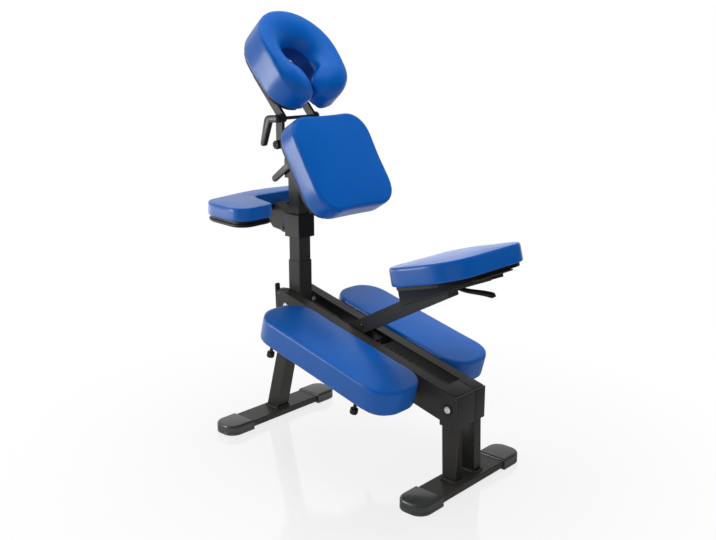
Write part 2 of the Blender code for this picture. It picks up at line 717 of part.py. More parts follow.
# Knee pads with their boards, brackets and knobs
pad_low = KNEE_PROUD - KNEE_PAD_THICKNESS
board_low = pad_low - FIT - KNEE_BOARD_THICKNESS
leg_low = board_low - FIT - KNEE_BRACKET_THICKNESS
wall_face = BEAM_WIDTH / 2 + FIT
knee_outline = rectangle(KNEE_WIDTH, KNEE_LENGTH, KNEE_CORNER)
for side, name in ((-1, "left"), (1, "right")):
    middle = side * (KNEE_INNER + KNEE_WIDTH / 2)
    knee_pad = cushion("knee_pad_" + name, knee_outline, KNEE_PAD_THICKNESS)
    add(knee_pad, beam, (middle, KNEE_ALONG, pad_low), finish=VINYL)
    knee_board = plate("knee_board_" + name, [inset(knee_outline, KNEE_BOARD_INSET)], KNEE_BOARD_THICKNESS)
    add(knee_board, beam, (middle, KNEE_ALONG, board_low + KNEE_BOARD_THICKNESS / 2), finish=BOARD)
    for end, where in ((-1, "rear"), (1, "front")):
        along = KNEE_BRACKET_ALONG + end * KNEE_BRACKET_SPACING / 2
        angle_section = [
            (wall_face, leg_low),
            (wall_face + KNEE_BRACKET_REACH, leg_low),
            (wall_face + KNEE_BRACKET_REACH, leg_low + KNEE_BRACKET_THICKNESS),
            (wall_face + KNEE_BRACKET_THICKNESS, leg_low + KNEE_BRACKET_THICKNESS),
            (wall_face + KNEE_BRACKET_THICKNESS, pad_low - KNEE_BRACKET_GAP),
            (wall_face, pad_low - KNEE_BRACKET_GAP),
        ]
        section = [(side * x, z) for x, z in angle_section]
        bracket = plate(f"knee_bracket_{where}_{name}", [section], KNEE_BRACKET_WIDTH)
        add(bracket, beam, (0.0, along, 0.0), FRONT, STEEL)
        knob = turned(
            f"knee_knob_{where}_{name}",
            [
                (0.0, 0.0),
                (KNOB_STEM_RADIUS, 0.0),
                (KNOB_STEM_RADIUS, -KNEE_KNOB_STEM),
                (KNEE_KNOB_RADIUS, -KNEE_KNOB_STEM),
                (KNEE_KNOB_RADIUS, -KNEE_KNOB_STEM - KNOB_HEIGHT + KNOB_EDGE),
                (KNEE_KNOB_RADIUS - KNOB_EDGE, -KNEE_KNOB_STEM - KNOB_HEIGHT),
                (0.0, -KNEE_KNOB_STEM - KNOB_HEIGHT),
            ],
        )
        add(knob, beam, (side * (wall_face + KNEE_KNOB_REACH), along, leg_low - FIT), finish=PLASTIC)


# Legs and feet
bar_top = BAR_LIFT + BAR_HEIGHT
bar_length = FOOT_LENGTH - 2 * FOOT_CAP_LENGTH
foot_level = bar_top + FIT


def foot(name, y):
    """A foot bar with a rounded cap on each end."""
    bar = soften(box(name + "_foot_bar", (bar_length, BAR_WIDTH, BAR_HEIGHT)), EDGE)
    add(bar, base, (0.0, y, BAR_LIFT + BAR_HEIGHT / 2), finish=STEEL)
    cap_start = bar_length / 2 + FIT
    cap_end = FOOT_LENGTH / 2
    half = FOOT_CAP_WIDTH / 2
    for side, where in ((-1, "left"), (1, "right")):
        corners = [
            (cap_start, -half, 0.0),
            (cap_end, -half, FOOT_CAP_CORNER),
            (cap_end, half, FOOT_CAP_CORNER),
            (cap_start, half, 0.0),
        ]
        outline = [(side * x, side * z) for x, z in rounded(corners)]
        cap = soften(plate(f"{name}_foot_cap_{where}", [outline], FOOT_CAP_HEIGHT), FOOT_CAP_EDGE, 2)
        add(cap, base, (0.0, y, FOOT_CAP_HEIGHT / 2), finish=PLASTIC)


def lean_of(frame, foot_y):
    """How far a leg leans from upright, so that it meets the middle of its foot."""
    rise = frame.location.z - foot_level
    return math.atan2(foot_y - frame.location.y, rise)


def post(name, frame, foot_y, width, depth, across):
    """A leg post with a flange on the foot bar and a hole for its pivot."""
    lean = lean_of(frame, foot_y)
    drop = frame.location.z - foot_level
    body = plate(name, [leg_profile(lean, depth / 2, depth, drop)], width)
    add(body, frame, (across, 0.0, 0.0), SIDE, STEEL)
    flange = box(name + "_flange", (width + FLANGE_RIM, depth + 2 * FLANGE_RIM, FLANGE_HEIGHT))
    add(flange, base, (across, foot_y, foot_level + FLANGE_HEIGHT / 2))
    combine(body, flange, "UNION")
    return body


front_foot_y = REAR_FOOT_Y + FOOT_SPACING
foot("rear", REAR_FOOT_Y)
foot("front", front_foot_y)
post_across = CHANNEL_WIDTH / 2 - RUN - REAR_POST_WIDTH / 2
for side, name in ((-1, "left"), (1, "right")):
    across = side * post_across
    rear_post = post(
        "rear_post_" + name, rear_leg, REAR_FOOT_Y, REAR_POST_WIDTH, REAR_POST_DEPTH, across
    )
    tab = box("rear_stop_" + name, (REAR_POST_WIDTH, 2 * REAR_STOP_REACH, REAR_STOP_HEIGHT))
    add(tab, rear_leg, (across, REAR_POST_DEPTH / 2, -REAR_STOP_DROP))
    combine(rear_post, tab, "UNION")
    cross_hole(rear_post, rear_leg, (0.0, 0.0, 0.0), BOLT_RADIUS + FIT, BEAM_WIDTH)
front_post = post("front_post", front_leg, front_foot_y, FRONT_POST_WIDTH, FRONT_POST_DEPTH, 0.0)
cross_hole(front_post, front_leg, (0.0, 0.0, 0.0), BOLT_RADIUS + FIT, BEAM_WIDTH)


# Mast
def square_tube(name, outer, inner, corner, low, high):
    """A square tube on the mast's axis between two heights."""
    hole = rectangle(inner, inner, max(corner - (outer - inner) / 2, LEAST_CORNER), CORNER_STEPS)
    return plate(name, [rectangle(outer, outer, corner, CORNER_STEPS), hole], high - low)


inner_tube = MAST_TUBE - 2 * (MAST_WALL + RUN)
mast_outer_tube = square_tube(
    "mast_outer_tube", MAST_TUBE, MAST_TUBE - 2 * MAST_WALL, MAST_CORNER, -MAST_BELOW, MAST_ABOVE
)
add(mast_outer_tube, mast, (0.0, 0.0, (MAST_ABOVE - MAST_BELOW) / 2), finish=STEEL)
cross_hole(mast_outer_tube, mast, (0.0, 0.0, 0.0), BOLT_RADIUS + FIT, MAST_TUBE)
inner_corner = MAST_CORNER - MAST_WALL
mast_inner_tube = square_tube(
    "mast_inner_tube", inner_tube, inner_tube - 2 * INNER_WALL, inner_corner, INNER_START, MAST_TOP
)
add(mast_inner_tube, mast, (0.0, 0.0, (INNER_START + MAST_TOP) / 2), finish=STEEL)
cross_hole(mast_inner_tube, yoke, (0.0, 0.0, 0.0), YOKE_SHAFT_RADIUS + FIT, MAST_TUBE)

# The mast's lock is an upright paddle on the front of the nose
lock_y = front_end.y + FIT + NOSE_THICKNESS + RUN + LOCK_LEVER_HUB
lock_frame = frame_at("lock_pivot", (0.0, lock_y, front_end.z - LOCK_LEVER_DEPTH), 0.0, base)
lever_outline = turned_outline(
    link(LOCK_LEVER_LENGTH, LOCK_LEVER_HUB, LOCK_LEVER_THICKNESS / 2), math.pi / 2 - LOCK_LEVER_LEAN
)
mast_lock_lever = soften(plate("mast_lock_lever", [lever_outline], LOCK_LEVER_WIDTH), EDGE)
add(mast_lock_lever, lock_frame, (-LOCK_LEVER_SIDE, 0.0, 0.0), SIDE, PLASTIC)


# Armrest
def collar(name, size, height, low):
    """A block that slides on the inner tube."""
    bore = inner_tube + 2 * RUN
    outside = rectangle(size, size, COLLAR_CORNER, CORNER_STEPS)
    inside = rectangle(bore, bore, inner_corner, CORNER_STEPS)
    made = plate(name, [outside, inside], height)
    return add(made, mast, (0.0, 0.0, low + height / 2), finish=PLASTIC)


arm_collar = collar("arm_collar", COLLAR_SIZE, COLLAR_HEIGHT, ARM_COLLAR_RISE)
lug_across = ARM_BRACKET_WIDTH / 2 + RUN + ARM_LUG_THICKNESS / 2
lug_root = -ARM_HUB_RADIUS - RUN - ROOT
lug_outline = rounded(
    [
        (lug_root, -ARM_HUB_RADIUS, 0.0),
        (ARM_HUB_RADIUS, -ARM_HUB_RADIUS, ARM_HUB_RADIUS * ROUND_END),
        (ARM_HUB_RADIUS, ARM_HUB_RADIUS, ARM_HUB_RADIUS * ROUND_END),
        (lug_root, ARM_HUB_RADIUS, 0.0),
    ]
)
for side in (-1, 1):
    lug = plate("arm_lug", [lug_outline], ARM_LUG_THICKNESS)
    add(lug, arm_hinge, (side * lug_across, 0.0, 0.0), SIDE)
    combine(arm_collar, lug, "UNION")
cross_hole(arm_collar, arm_hinge, (0.0, 0.0, 0.0), PIN_RADIUS + FIT, COLLAR_SIZE)
arm_pin_grip = 2 * (lug_across + ARM_LUG_THICKNESS / 2 + FIT)
arm_pin = bolt("arm_pin", arm_pin_grip, PIN_RADIUS, PIN_HEAD_RADIUS, PIN_HEAD_HEIGHT)
add(arm_pin, arm_hinge, turn=SIDE, finish=ZINC)

arm_pad_low = ARM_PAD_TOP - ARM_PAD_THICKNESS
arm_board_low = arm_pad_low - FIT - ARM_BOARD_THICKNESS
arm_mount = arm_board_low - FIT
pin_y = arm_hinge.location.y
notch_in_frame = ARM_NOTCH_FRONT - pin_y
bracket_outline = rounded(
    [
        (0.0, -ARM_HUB_RADIUS, 0.0),
        (ARM_BRACKET_REACH * ARM_BRACKET_BEND_SHARE, -ARM_BRACKET_BEND_DROP, ARM_BRACKET_BEND),
        (ARM_BRACKET_REACH, arm_mount - ARM_BRACKET_NOSE, ARM_BRACKET_CORNER),
        (ARM_BRACKET_REACH, arm_mount, 0.0),
        (notch_in_frame, arm_mount, 0.0),
        (notch_in_frame - ARM_BRACE_GAP, arm_mount + ARM_BRACE_LIFT, EDGE),
        (-ARM_HUB_RADIUS, arm_mount - ARM_BRACKET_BACK, ARM_BRACKET_CORNER),
        (-ARM_HUB_RADIUS, -ARM_HUB_RADIUS, ARM_HUB_RADIUS * ROUND_END),
    ]
)
arm_bracket = plate("arm_bracket", [bracket_outline, circle((0, 0), PIN_RADIUS + FIT)], ARM_BRACKET_WIDTH)
add(arm_bracket, arm_hinge, turn=SIDE, finish=STEEL)

arm_inner_end = ARM_HALF_WIDTH - ARM_END_WIDTH
arm_outline = rounded(
    mirrored(
        [
            (ARM_HALF_WIDTH, ARM_REAR, ARM_REAR_CORNER),
            (ARM_HALF_WIDTH - ARM_SHOULDER_IN, ARM_FRONT - ARM_SHOULDER_BACK, ARM_SHOULDER_CORNER),
            (0.0, ARM_FRONT + ARM_BOW, ARM_BOW_RADIUS),
        ]
    )
    + [
        (-arm_inner_end, ARM_REAR + ARM_TIP_FORWARD, ARM_TIP_CORNER),
        (-ARM_NOTCH_HALF_WIDTH, ARM_NOTCH_FRONT, ARM_NOTCH_CORNER),
        (ARM_NOTCH_HALF_WIDTH, ARM_NOTCH_FRONT, ARM_NOTCH_CORNER),
        (arm_inner_end, ARM_REAR + ARM_TIP_FORWARD, ARM_TIP_CORNER),
    ]
)
arm_pad = cushion("arm_pad", arm_outline, ARM_PAD_THICKNESS, THIN_PAD_ROLL)
add(arm_pad, arm_hinge, (0.0, -pin_y, arm_pad_low), finish=VINYL)
arm_board = plate("arm_board", [inset(arm_outline, ARM_BOARD_INSET)], ARM_BOARD_THICKNESS)
add(arm_board, arm_hinge, (0.0, -pin_y, arm_board_low + ARM_BOARD_THICKNESS / 2), finish=BOARD)


# Chest pad
chest_slider = collar("chest_slider", CHEST_SLIDER_SIZE, CHEST_SLIDER_HEIGHT, CHEST_SLIDER_RISE)
tongue_root = CHEST_PIN_BACK - CHEST_SLIDER_SIZE / 2 + ROOT
tongue_outline = rounded(
    [
        (-CHEST_HUB_RADIUS, -CHEST_HUB_RADIUS, CHEST_HUB_RADIUS * ROUND_END),
        (tongue_root, -CHEST_HUB_RADIUS, 0.0),
        (tongue_root, CHEST_HUB_RADIUS, 0.0),
        (-CHEST_HUB_RADIUS, CHEST_HUB_RADIUS, CHEST_HUB_RADIUS * ROUND_END),
    ]
)
tongue = plate("chest_tongue", [tongue_outline], CHEST_TONGUE_WIDTH)
add(tongue, mast, (0.0, -CHEST_PIN_BACK, CHEST_PIN_RISE), SIDE)
combine(chest_slider, tongue, "UNION")
cross_hole(chest_slider, chest, (0.0, 0.0, 0.0), PIN_RADIUS + FIT, COLLAR_SIZE)

plate_back = CHEST_BOARD_THICKNESS + FIT - CHEST_PAD_BACK + FIT
chest_bracket = box("chest_bracket", (CHEST_PLATE_WIDTH, CHEST_PLATE_THICKNESS, CHEST_PLATE_HEIGHT))
chest_plate_place = (0.0, plate_back + CHEST_PLATE_THICKNESS / 2, -CHEST_PAD_DROP)
add(chest_bracket, chest, chest_plate_place, finish=STEEL)
cheek_across = CHEST_TONGUE_WIDTH / 2 + RUN + CHEST_CHEEK / 2
cheek_outline = rounded(
    [
        (plate_back + WELD, -CHEST_CHEEK_LOW, 0.0),
        (CHEST_HUB_RADIUS, -CHEST_HUB_RADIUS, CHEST_HUB_RADIUS * ROUND_END),
        (CHEST_HUB_RADIUS, CHEST_HUB_RADIUS, CHEST_HUB_RADIUS * ROUND_END),
        (plate_back + WELD, CHEST_CHEEK_HIGH, 0.0),
    ]
)
for side in (-1, 1):
    cheek = plate("chest_cheek", [cheek_outline], CHEST_CHEEK)
    add(cheek, chest, (side * cheek_across, 0.0, 0.0), SIDE)
    combine(chest_bracket, cheek, "UNION")
cross_hole(chest_bracket, chest, (0.0, 0.0, 0.0), PIN_RADIUS + FIT, COLLAR_SIZE)
chest_pin_grip = 2 * (cheek_across + CHEST_CHEEK / 2 + FIT)
chest_pin = bolt("chest_pin", chest_pin_grip, PIN_RADIUS, PIN_HEAD_RADIUS, PIN_HEAD_HEIGHT)
add(chest_pin, chest, turn=SIDE, finish=ZINC)
chest_outline = rectangle(CHEST_WIDTH, CHEST_HEIGHT, CHEST_CORNER)
chest_pad = cushion("chest_pad", chest_outline, CHEST_PAD_THICKNESS)
add(chest_pad, chest, (0.0, -CHEST_PAD_BACK, -CHEST_PAD_DROP), FRONT, VINYL)
chest_board = plate("chest_board", [inset(chest_outline, CHEST_BOARD_INSET)], CHEST_BOARD_THICKNESS)
chest_board_y = FIT + CHEST_BOARD_THICKNESS / 2 - CHEST_PAD_BACK
add(chest_board, chest, (0.0, chest_board_y, -CHEST_PAD_DROP), FRONT, BOARD)

chest_lever_across = -(CHEST_SLIDER_SIZE / 2 + FIT + LEVER_THICKNESS / 2)
chest_lever_outline = turned_outline(link(CHEST_LEVER_LENGTH, LEVER_HUB, LEVER_TIP), CHEST_LEVER_ANGLE)
chest_lever = soften(plate("chest_lever", [chest_lever_outline], LEVER_THICKNESS), EDGE)
add(chest_lever, mast, (chest_lever_across, 0.0, CHEST_LEVER_RISE), SIDE, PLASTIC)


# Face cradle
arm_inner = YOKE_SPAN / 2 - YOKE_ARM_THICKNESS
yoke_shaft = turned(
    "yoke_shaft",
    [
        (0.0, YOKE_SPAN / 2 + BOLT_HEAD_HEIGHT),
        (BOLT_HEAD_RADIUS, YOKE_SPAN / 2 + BOLT_HEAD_HEIGHT),
        (BOLT_HEAD_RADIUS, YOKE_SPAN / 2 + FIT),
        (YOKE_END_RADIUS, YOKE_SPAN / 2 + FIT),
        (YOKE_END_RADIUS, arm_inner - FIT),
        (YOKE_SHAFT_RADIUS, arm_inner - FIT),
        (YOKE_SHAFT_RADIUS, FIT - arm_inner),
        (YOKE_END_RADIUS, FIT - arm_inner),
        (YOKE_END_RADIUS, -YOKE_SPAN / 2),
        (0.0, -YOKE_SPAN / 2),
    ],
)
add(yoke_shaft, yoke, turn=SIDE, finish=ZINC)
yoke_knob = turned(
    "yoke_knob",
    [
        (0.0, KNOB_HEIGHT),
        (KNOB_RADIUS - KNOB_EDGE, KNOB_HEIGHT),
        (KNOB_RADIUS, KNOB_HEIGHT - KNOB_EDGE),
        (KNOB_RADIUS, 0.0),
        (0.0, 0.0),
    ],
)
add(yoke_knob, yoke, (-YOKE_SPAN / 2 - FIT, 0.0, 0.0), (0.0, -math.pi / 2, 0.0), PLASTIC)
end_hole = YOKE_END_RADIUS + FIT
arm_half = YOKE_ARM_WIDTH / 2
yoke_arm_outline = turned_outline(link(YOKE_ARM_LENGTH, arm_half, arm_half), math.pi / 2)
yoke_arm_holes = [circle((0, 0), end_hole), circle((0, YOKE_ARM_LENGTH), end_hole)]
for side, name in ((-1, "left"), (1, "right")):
    yoke_arm = plate("yoke_arm_" + name, [yoke_arm_outline, *yoke_arm_holes], YOKE_ARM_THICKNESS)
    add(yoke_arm, yoke, (side * (arm_inner + YOKE_ARM_THICKNESS / 2), 0.0, 0.0), SIDE, STEEL)
cradle_axle = turned(
    "cradle_axle",
    [
        (0.0, YOKE_SPAN / 2 + BOLT_HEAD_HEIGHT),
        (BOLT_HEAD_RADIUS, YOKE_SPAN / 2 + BOLT_HEAD_HEIGHT),
        (BOLT_HEAD_RADIUS, YOKE_SPAN / 2 + FIT),
        (YOKE_END_RADIUS, YOKE_SPAN / 2 + FIT),
        (YOKE_END_RADIUS, -YOKE_SPAN / 2),
        (0.0, -YOKE_SPAN / 2),
    ],
)
add(cradle_axle, cradle, turn=SIDE, finish=STEEL)

# Two bars on the axle, joined to a window plate behind the face board
bar_half = CRADLE_BAR_WIDTH / 2
bar_outline = turned_outline(link(CRADLE_BAR_LENGTH, bar_half, bar_half), math.pi / 2)
bar_outer = arm_inner - FIT
bar_across = bar_outer - CRADLE_BAR_THICKNESS / 2
cradle_plate_back = FACE_BOARD_THICKNESS + 2 * FIT - FACE_PAD_BACK
plate_height = CRADLE_PLATE_HIGH - CRADLE_PLATE_LOW
plate_middle = (CRADLE_PLATE_HIGH + CRADLE_PLATE_LOW) / 2
cradle_frame = box("cradle_frame", (2 * bar_outer, CRADLE_PLATE_THICKNESS, plate_height))
cradle_plate_place = (0.0, cradle_plate_back + CRADLE_PLATE_THICKNESS / 2, plate_middle)
add(cradle_frame, cradle, cradle_plate_place, finish=STEEL)
window_width = 2 * (bar_outer - CRADLE_BAR_THICKNESS)
window_height = plate_height - 2 * CRADLE_PLATE_RAIL
cradle_window = box("cradle_window", (window_width, 4 * CRADLE_PLATE_THICKNESS, window_height))
add(cradle_window, cradle, (0.0, cradle_plate_back, plate_middle))
combine(cradle_frame, cradle_window, "DIFFERENCE")
cheek_start = cradle_plate_back + CRADLE_PLATE_THICKNESS / 4
cheek_low = CRADLE_PLATE_LOW + CRADLE_PLATE_RAIL / 2
cheek_height = CRADLE_BAR_LENGTH - cheek_low
for side in (-1, 1):
    cheek = box("cradle_cheek", (CRADLE_CHEEK, -cheek_start, cheek_height))
    add(cheek, cradle, (side * bar_across, cheek_start / 2, cheek_low + cheek_height / 2))
    combine(cradle_frame, cheek, "UNION")
    bar = plate("cradle_bar", [bar_outline], CRADLE_BAR_THICKNESS)
    add(bar, cradle, (side * bar_across, 0.0, 0.0), SIDE)
    combine(cradle_frame, bar, "UNION")
cross_hole(cradle_frame, cradle, (0.0, 0.0, 0.0), end_hole, BEAM_WIDTH)

face_outline = rounded(
    [
        (FACE_MOUTH_WIDTH / 2, -FACE_HEIGHT / 2, FACE_MOUTH_CORNER),
        (FACE_WIDTH / 2 - FACE_TAPER, -FACE_HEIGHT / 2, FACE_CHIN_CORNER),
        (FACE_WIDTH / 2, FACE_HEIGHT / 2, FACE_CROWN_CORNER),
        (-FACE_WIDTH / 2, FACE_HEIGHT / 2, FACE_CROWN_CORNER),
        (FACE_TAPER - FACE_WIDTH / 2, -FACE_HEIGHT / 2, FACE_CHIN_CORNER),
        (-FACE_MOUTH_WIDTH / 2, -FACE_HEIGHT / 2, FACE_MOUTH_CORNER),
        (-FACE_MOUTH_WIDTH / 2, FACE_MOUTH_TOP, FACE_THROAT_CORNER),
        (-FACE_HOLE_WIDTH / 2, FACE_HOLE_BOTTOM, FACE_HOLE_LOW_CORNER),
        (-FACE_HOLE_WIDTH / 2, FACE_HOLE_TOP, FACE_HOLE_HIGH_CORNER),
        (FACE_HOLE_WIDTH / 2, FACE_HOLE_TOP, FACE_HOLE_HIGH_CORNER),
        (FACE_HOLE_WIDTH / 2, FACE_HOLE_BOTTOM, FACE_HOLE_LOW_CORNER),
        (FACE_MOUTH_WIDTH / 2, FACE_MOUTH_TOP, FACE_THROAT_CORNER),
    ]
)
face_pad = cushion(
    "face_pad",
    face_outline,
    FACE_PAD_THICKNESS,
    thinner=FACE_CHIN_THINNER,
    thin_start=FACE_CHIN_START,
)
add(face_pad, cradle, (0.0, -FACE_PAD_BACK, FACE_PAD_RISE), FRONT, VINYL)
face_board = plate("face_board", [inset(face_outline, FACE_BOARD_INSET)], FACE_BOARD_THICKNESS)
face_board_y = FIT + FACE_BOARD_THICKNESS / 2 - FACE_PAD_BACK
add(face_board, cradle, (0.0, face_board_y, FACE_PAD_RISE), FRONT, BOARD)

cam_outline = rounded(
    [
        (-LEVER_HUB, -LEVER_HUB, LEVER_HUB * ROUND_END),
        (CAM_LEVER_REACH - CAM_LEVER_WIDTH, -LEVER_HUB, CAM_LEVER_BEND),
        (CAM_LEVER_REACH - CAM_LEVER_WIDTH + CAM_LEVER_LEAN, -CAM_LEVER_LENGTH, CAM_LEVER_TIP),
        (CAM_LEVER_REACH + CAM_LEVER_LEAN, -CAM_LEVER_LENGTH, CAM_LEVER_TIP),
        (CAM_LEVER_REACH, LEVER_HUB, CAM_LEVER_SHOULDER),
        (-LEVER_HUB, LEVER_HUB, LEVER_HUB * ROUND_END),
    ]
)
cam_lever = soften(plate("cam_lever", [cam_outline], CAM_LEVER_THICKNESS), EDGE)
cam_across = -(YOKE_SPAN / 2 + FIT + CAM_LEVER_THICKNESS / 2)
add(cam_lever, yoke, (cam_across, 0.0, YOKE_ARM_LENGTH), SIDE, PLASTIC)


# Seat
carriage_top = -BEAM_WALL - RUN
carriage_width = CHANNEL_WIDTH - 2 * RUN
seat_carriage = box("seat_carriage", (carriage_width, CARRIAGE_LENGTH, CARRIAGE_HEIGHT))
carriage_place = (0.0, SEAT_PIN_ALONG, carriage_top - CARRIAGE_HEIGHT / 2)
add(seat_carriage, beam, carriage_place, finish=PLASTIC)
pocket = box("carriage_pocket", (SLOT_WIDTH, 2 * CARRIAGE_LENGTH, 2 * CARRIAGE_POCKET))
add(pocket, beam, (0.0, SEAT_PIN_ALONG, carriage_top))
combine(seat_carriage, pocket, "DIFFERENCE")
lug_half = CLEVIS_WIDTH / 2 - RUN
lug_low = carriage_top - CARRIAGE_POCKET - ROOT
lug_rear = SEAT_PIN_ALONG - CARRIAGE_LUG_RADIUS
lug_front = SEAT_PIN_ALONG + CARRIAGE_LUG_RADIUS
lug_high = SEAT_PIN_RISE + CARRIAGE_LUG_RADIUS
lug_round = CARRIAGE_LUG_RADIUS * ROUND_END
lug_outline = rounded(
    [
        (lug_rear, lug_low, 0.0),
        (lug_front, lug_low, 0.0),
        (lug_front, lug_high, lug_round),
        (lug_rear, lug_high, lug_round),
    ]
)
lug = add(plate("carriage_lug", [lug_outline], 2 * lug_half), beam, turn=SIDE)
combine(seat_carriage, lug, "UNION")
groove_width = RACK_THICKNESS + 2 * RUN
groove = box("carriage_groove", (groove_width, 2 * CARRIAGE_LENGTH, RACK_HEIGHT))
add(groove, beam, (0.0, SEAT_PIN_ALONG, RUN - RACK_DEPTH - RACK_HEIGHT / 2))
combine(seat_carriage, groove, "DIFFERENCE")
cross_hole(seat_carriage, seat_slide, (0.0, 0.0, 0.0), PIN_RADIUS + FIT, BEAM_WIDTH)

board_level = -SEAT_PAD_THICKNESS - FIT - SEAT_BOARD_THICKNESS
plate_low = board_level - FIT - SEAT_PLATE_THICKNESS


def in_seat_slide(y, z):
    """A place in the seat's frame, seen from its pivot."""
    cosine = math.cos(SEAT_TILT)
    sine = math.sin(SEAT_TILT)
    return Vector((y * cosine + z * sine - SEAT_BACK, z * cosine - y * sine + SEAT_RISE))


def meet(start, along, through, direction):
    """Where two lines in the side view cross."""
    share = (through - start).cross(direction) / along.cross(direction)
    return start + along * share


# The strut runs from the pivot to the seat bracket. Its foot is cut level with the beam's slot.
strut_head = in_seat_slide(STRUT_END, plate_low - FIT - STRUT_HEAD_GAP - STRUT_DEPTH / 2)
strut_run = strut_head.normalized()
strut_rise = Vector((strut_run.y, -strut_run.x)) * STRUT_DEPTH / 2
if strut_rise.y < 0:
    strut_rise = -strut_rise
slope_run = Vector((math.cos(BEAM_SLOPE), math.sin(BEAM_SLOPE)))
slot_level = Vector((slope_run.y, -slope_run.x)) * (SEAT_PIN_RISE + STRUT_DIP)
seat_square = Vector((math.sin(SEAT_TILT), math.cos(SEAT_TILT)))
strut_outline = [
    meet(strut_rise, strut_run, slot_level, slope_run),
    meet(strut_rise, strut_run, strut_head, seat_square),
    meet(-strut_rise, strut_run, strut_head, seat_square),
    meet(-strut_rise, strut_run, slot_level, slope_run),
]
seat_strut = plate("seat_strut", [[tuple(point) for point in strut_outline]], STRUT_WIDTH)
add(seat_strut, seat_slide, turn=SIDE, finish=STEEL)
clevis = box("strut_clevis", (CLEVIS_WIDTH, CLEVIS_LENGTH, CLEVIS_LENGTH))
add(clevis, beam, (0.0, SEAT_PIN_ALONG, SEAT_PIN_RISE))
combine(seat_strut, clevis, "DIFFERENCE")
cross_hole(seat_strut, seat_slide, (0.0, 0.0, 0.0), PIN_RADIUS + FIT, BEAM_WIDTH)
seat_pin = bolt("seat_pin", STRUT_WIDTH + 2 * FIT, PIN_RADIUS, PIN_HEAD_RADIUS, PIN_HEAD_HEIGHT)
add(seat_pin, seat_slide, turn=SIDE, finish=ZINC)

seat_outline = rectangle(SEAT_WIDTH, SEAT_LENGTH, SEAT_CORNER)
seat_pad = cushion("seat_pad", seat_outline, SEAT_PAD_THICKNESS, THIN_PAD_ROLL)
add(seat_pad, seat, (0.0, 0.0, -SEAT_PAD_THICKNESS), finish=VINYL)
seat_board = plate("seat_board", [inset(seat_outline, SEAT_BOARD_INSET)], SEAT_BOARD_THICKNESS)
add(seat_board, seat, (0.0, 0.0, board_level + SEAT_BOARD_THICKNESS / 2), finish=BOARD)
seat_plate_length = SEAT_PLATE_FRONT + SEAT_PLATE_REAR
seat_plate_middle = (SEAT_PLATE_FRONT - SEAT_PLATE_REAR) / 2
seat_bracket = box("seat_bracket", (SEAT_PLATE_WIDTH, seat_plate_length, SEAT_PLATE_THICKNESS))
add(seat_bracket, seat, (0.0, seat_plate_middle, plate_low + SEAT_PLATE_THICKNESS / 2), finish=STEEL)
flange_top = plate_low + SEAT_PLATE_THICKNESS / 2
flange_outline = [
    (-SEAT_PLATE_REAR, plate_low - SEAT_FLANGE_REAR),
    (SEAT_PLATE_FRONT, plate_low - SEAT_FLANGE_FRONT),
    (SEAT_PLATE_FRONT, flange_top),
    (-SEAT_PLATE_REAR, flange_top),
]
flange_inner = STRUT_WIDTH / 2 + PIN_HEAD_HEIGHT + RUN
for side in (-1, 1):
    flange = plate("seat_flange", [flange_outline], SEAT_FLANGE_THICKNESS)
    add(flange, seat, (side * (flange_inner + SEAT_FLANGE_THICKNESS / 2), 0.0, 0.0), SIDE)
    combine(seat_bracket, flange, "UNION")

# The release lever turns between the flanges, behind the strut's head
lever_frame = frame_at(
    "seat_lever_pivot",
    (0.0, STRUT_END - SEAT_LEVER_BEHIND, plate_low - SEAT_LEVER_DROP),
    0.0,
    seat,
)
seat_lever_path = [Vector((-back, -down)) * SEAT_LEVER_REACH for back, down in SEAT_LEVER_BEND_SHARES]
lever_spine = []
for i in range(SEAT_LEVER_STEPS + 1):
    t = i / SEAT_LEVER_STEPS
    weights = ((1 - t) ** 3, 3 * t * (1 - t) ** 2, 3 * t * t * (1 - t), t**3)
    lever_spine.append(sum((p * w for p, w in zip(seat_lever_path, weights)), Vector((0.0, 0.0))))
upper_edge = []
lower_edge = []
for i, point in enumerate(lever_spine):
    ahead = lever_spine[min(i + 1, SEAT_LEVER_STEPS)] - lever_spine[max(i - 1, 0)]
    across = Vector((-ahead.y, ahead.x)).normalized() * SEAT_LEVER_RADIUS
    upper_edge.append(tuple(point - across))
    lower_edge.append(tuple(point + across))
tip = lever_spine[-1]
tip_angle = math.atan2(upper_edge[-1][1] - tip.y, upper_edge[-1][0] - tip.x)
tip_round = arc(tip, SEAT_LEVER_RADIUS, tip_angle, tip_angle + math.pi)[1:-1]
seat_lever = plate("seat_lever", [upper_edge + tip_round + lower_edge[::-1]], 2 * SEAT_LEVER_HUB)
add(seat_lever, lever_frame, turn=SIDE, finish=PLASTIC)
hub_length = 2 * (flange_inner - FIT)
lever_hub = turned(
    "seat_lever_hub",
    [
        (0.0, hub_length / 2),
        (SEAT_LEVER_HUB, hub_length / 2),
        (SEAT_LEVER_HUB, -hub_length / 2),
        (0.0, -hub_length / 2),
    ],
)
add(lever_hub, lever_frame, turn=SIDE)
combine(seat_lever, lever_hub, "UNION")
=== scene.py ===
# %% [markdown]
# # A portable massage chair
# The chair is a folding frame of black coated steel that carries six blue vinyl pads. Its rigid
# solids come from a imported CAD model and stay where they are. This lesson gives them real
# finishes, and replaces the pads and the small moulded pieces with detailed ones.

# %% Load the frame
import json
import math
from collections import namedtuple

import bmesh
import bpy
import numpy as np
from mathutils import Matrix, Vector
from mathutils.bvhtree import BVHTree
from mathutils.geometry import interpolate_bezier


